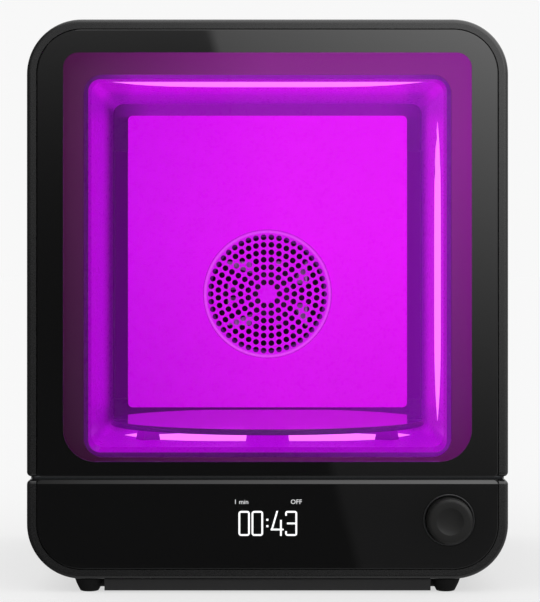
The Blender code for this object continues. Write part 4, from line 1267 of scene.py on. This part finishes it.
def make_floor():
    """A pale floor that lights itself in part, so that it stays even and keeps soft shadows."""
    lay_off()
    bpy.ops.mesh.primitive_plane_add(size=60, location=(0, 0, 0))
    floor = bpy.context.object
    floor.name = "studio_floor"
    material = finish("pale_floor", (0.36, 0.36, 0.36), 0.9, specular_ior_level=0.0)
    grain(material, 3.0, 0.0, 0.05)
    shader_of(material).inputs["Emission Color"].default_value = (1, 1, 1, 1)
    shader_of(material).inputs["Emission Strength"].default_value = 0.602
    dress(floor, material)
    floor.visible_glossy = False
    floor.visible_transmission = False
    floor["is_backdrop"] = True


def make_reflection_card():
    """A soft panel in front of the lamp that only gloss sees: dark on the left, bright at the upper right."""
    spread = (CARD_DISTANCE + FRONT + CAMERA_BACK) / CAMERA_BACK
    lay_off()
    bpy.ops.mesh.primitive_plane_add(size=8, location=(0, -CARD_DISTANCE, 1.0), rotation=(-math.pi / 2, 0, 0))
    card = settle("reflection_card")
    card.visible_camera = False
    card.visible_diffuse = False
    card.visible_transmission = False
    card.visible_shadow = False
    made = bpy.data.materials.new("reflection_card")
    made.use_nodes = True
    made.node_tree.nodes.clear()
    place = add_node(made, "ShaderNodeMapping")
    place.inputs["Scale"].default_value = (1 / spread, 1, 1 / spread)
    place.inputs["Location"].default_value = (0, 0, CAMERA_HEIGHT - CAMERA_HEIGHT / spread)
    wire(made, object_place(made), place.inputs["Vector"])
    axes = axes_of(made, place.outputs["Vector"])

    def sum_up(kind, first, second, clamp=False):
        node = add_node(made, "ShaderNodeMath", operation=kind, use_clamp=clamp)
        for socket, value in zip(node.inputs, (first, second)):
            if isinstance(value, (int, float)):
                socket.default_value = value
            else:
                wire(made, value, socket)
        return node.outputs["Value"]

    aside = sum_up("ADD", axes["X"], sum_up("MULTIPLY", axes["Z"], 0.277))
    edge = sum_up("ADD", sum_up("DIVIDE", sum_up("SUBTRACT", aside, 0.0655), 0.007), 0.5, True)
    height = sum_up("DIVIDE", sum_up("SUBTRACT", axes["Z"], 0.050), 0.33, True)
    across = sum_up("MINIMUM", sum_up("ADD", sum_up("MULTIPLY", axes["X"], 4.1), 0.66), 1.35)
    bright = sum_up("MULTIPLY", sum_up("POWER", height, 1.8), across)
    lit = sum_up("MULTIPLY", edge, sum_up("ADD", bright, 0.06))
    dim = sum_up("ADD", sum_up("MULTIPLY", sum_up("POWER", height, 5.0), 0.24), 0.020)
    light = add_node(made, "ShaderNodeEmission")
    light.inputs["Color"].default_value = (1, 1, 1, 1)
    wire(made, sum_up("ADD", lit, dim), light.inputs["Strength"])
    out = add_node(made, "ShaderNodeOutputMaterial")
    wire(made, light.outputs["Emission"], out.inputs["Surface"])
    dress(card, made)
    card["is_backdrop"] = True


def make_world():
    """Even studio white, but for gloss a room that is darker to the left and below."""
    world = bpy.data.worlds.new("studio")
    bpy.context.scene.world = world
    world.use_nodes = True
    world.node_tree.nodes.clear()
    axes = axes_of(world, add_node(world, "ShaderNodeTexCoord").outputs["Generated"])
    both = add_node(world, "ShaderNodeMath", operation="MULTIPLY")
    wire(world, level(world, axes["X"], -0.6, 0.1, 0.02, 0.5), both.inputs[0])
    wire(world, level(world, axes["Z"], 0.0, 0.6, 0.70, 3.3), both.inputs[1])
    gloss = add_node(world, "ShaderNodeBackground")
    gloss.inputs["Color"].default_value = (1, 1, 1, 1)
    wire(world, both.outputs["Value"], gloss.inputs["Strength"])
    even = add_node(world, "ShaderNodeBackground")
    even.inputs["Color"].default_value = (STUDIO_WHITE, STUDIO_WHITE, STUDIO_WHITE, 1)
    pick_one = add_node(world, "ShaderNodeMixShader")
    wire(world, add_node(world, "ShaderNodeLightPath").outputs["Is Glossy Ray"], pick_one.inputs["Fac"])
    wire(world, even.outputs["Background"], pick_one.inputs[1])
    wire(world, gloss.outputs["Background"], pick_one.inputs[2])
    wire(world, pick_one.outputs["Shader"], add_node(world, "ShaderNodeOutputWorld").inputs["Surface"])


def make_camera():
    lay_off()
    bpy.ops.object.camera_add(location=(0, FRONT - CAMERA_BACK, CAMERA_HEIGHT), rotation=(math.pi / 2, 0, 0))
    camera = bpy.context.object
    camera.data.lens = 144.1
    camera.data.sensor_width = 36
    camera.data.shift_x = 0.00415
    camera.data.shift_y = -0.0681
    camera.data.clip_end = 100
    bpy.context.scene.camera = camera
    bpy.context.scene.view_settings.view_transform = "Standard"


make_door_frame()
make_door_glass()
make_door_seal()
make_control_strip()
make_covers()
make_lining()
make_light_windows()
make_bulkhead()
make_back_panel()
make_columns()
make_turntable()
make_knob()
make_display()
make_feet()
make_rear()
make_rotor("circulation_fan_wheel", "circulation_fan_rotor", "circulation_rotor", 0.018, 7)
make_rotor("exhaust_fan_wheel", "exhaust_fan_rotor", "exhaust_rotor", 0.011, 7)
dress_cad_pieces()
make_floor()
make_reflection_card()
make_world()
make_camera()

sizes = {"cad": [list(corner) for corner in CAD_BOX], "visual": [list(corner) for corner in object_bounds()]}
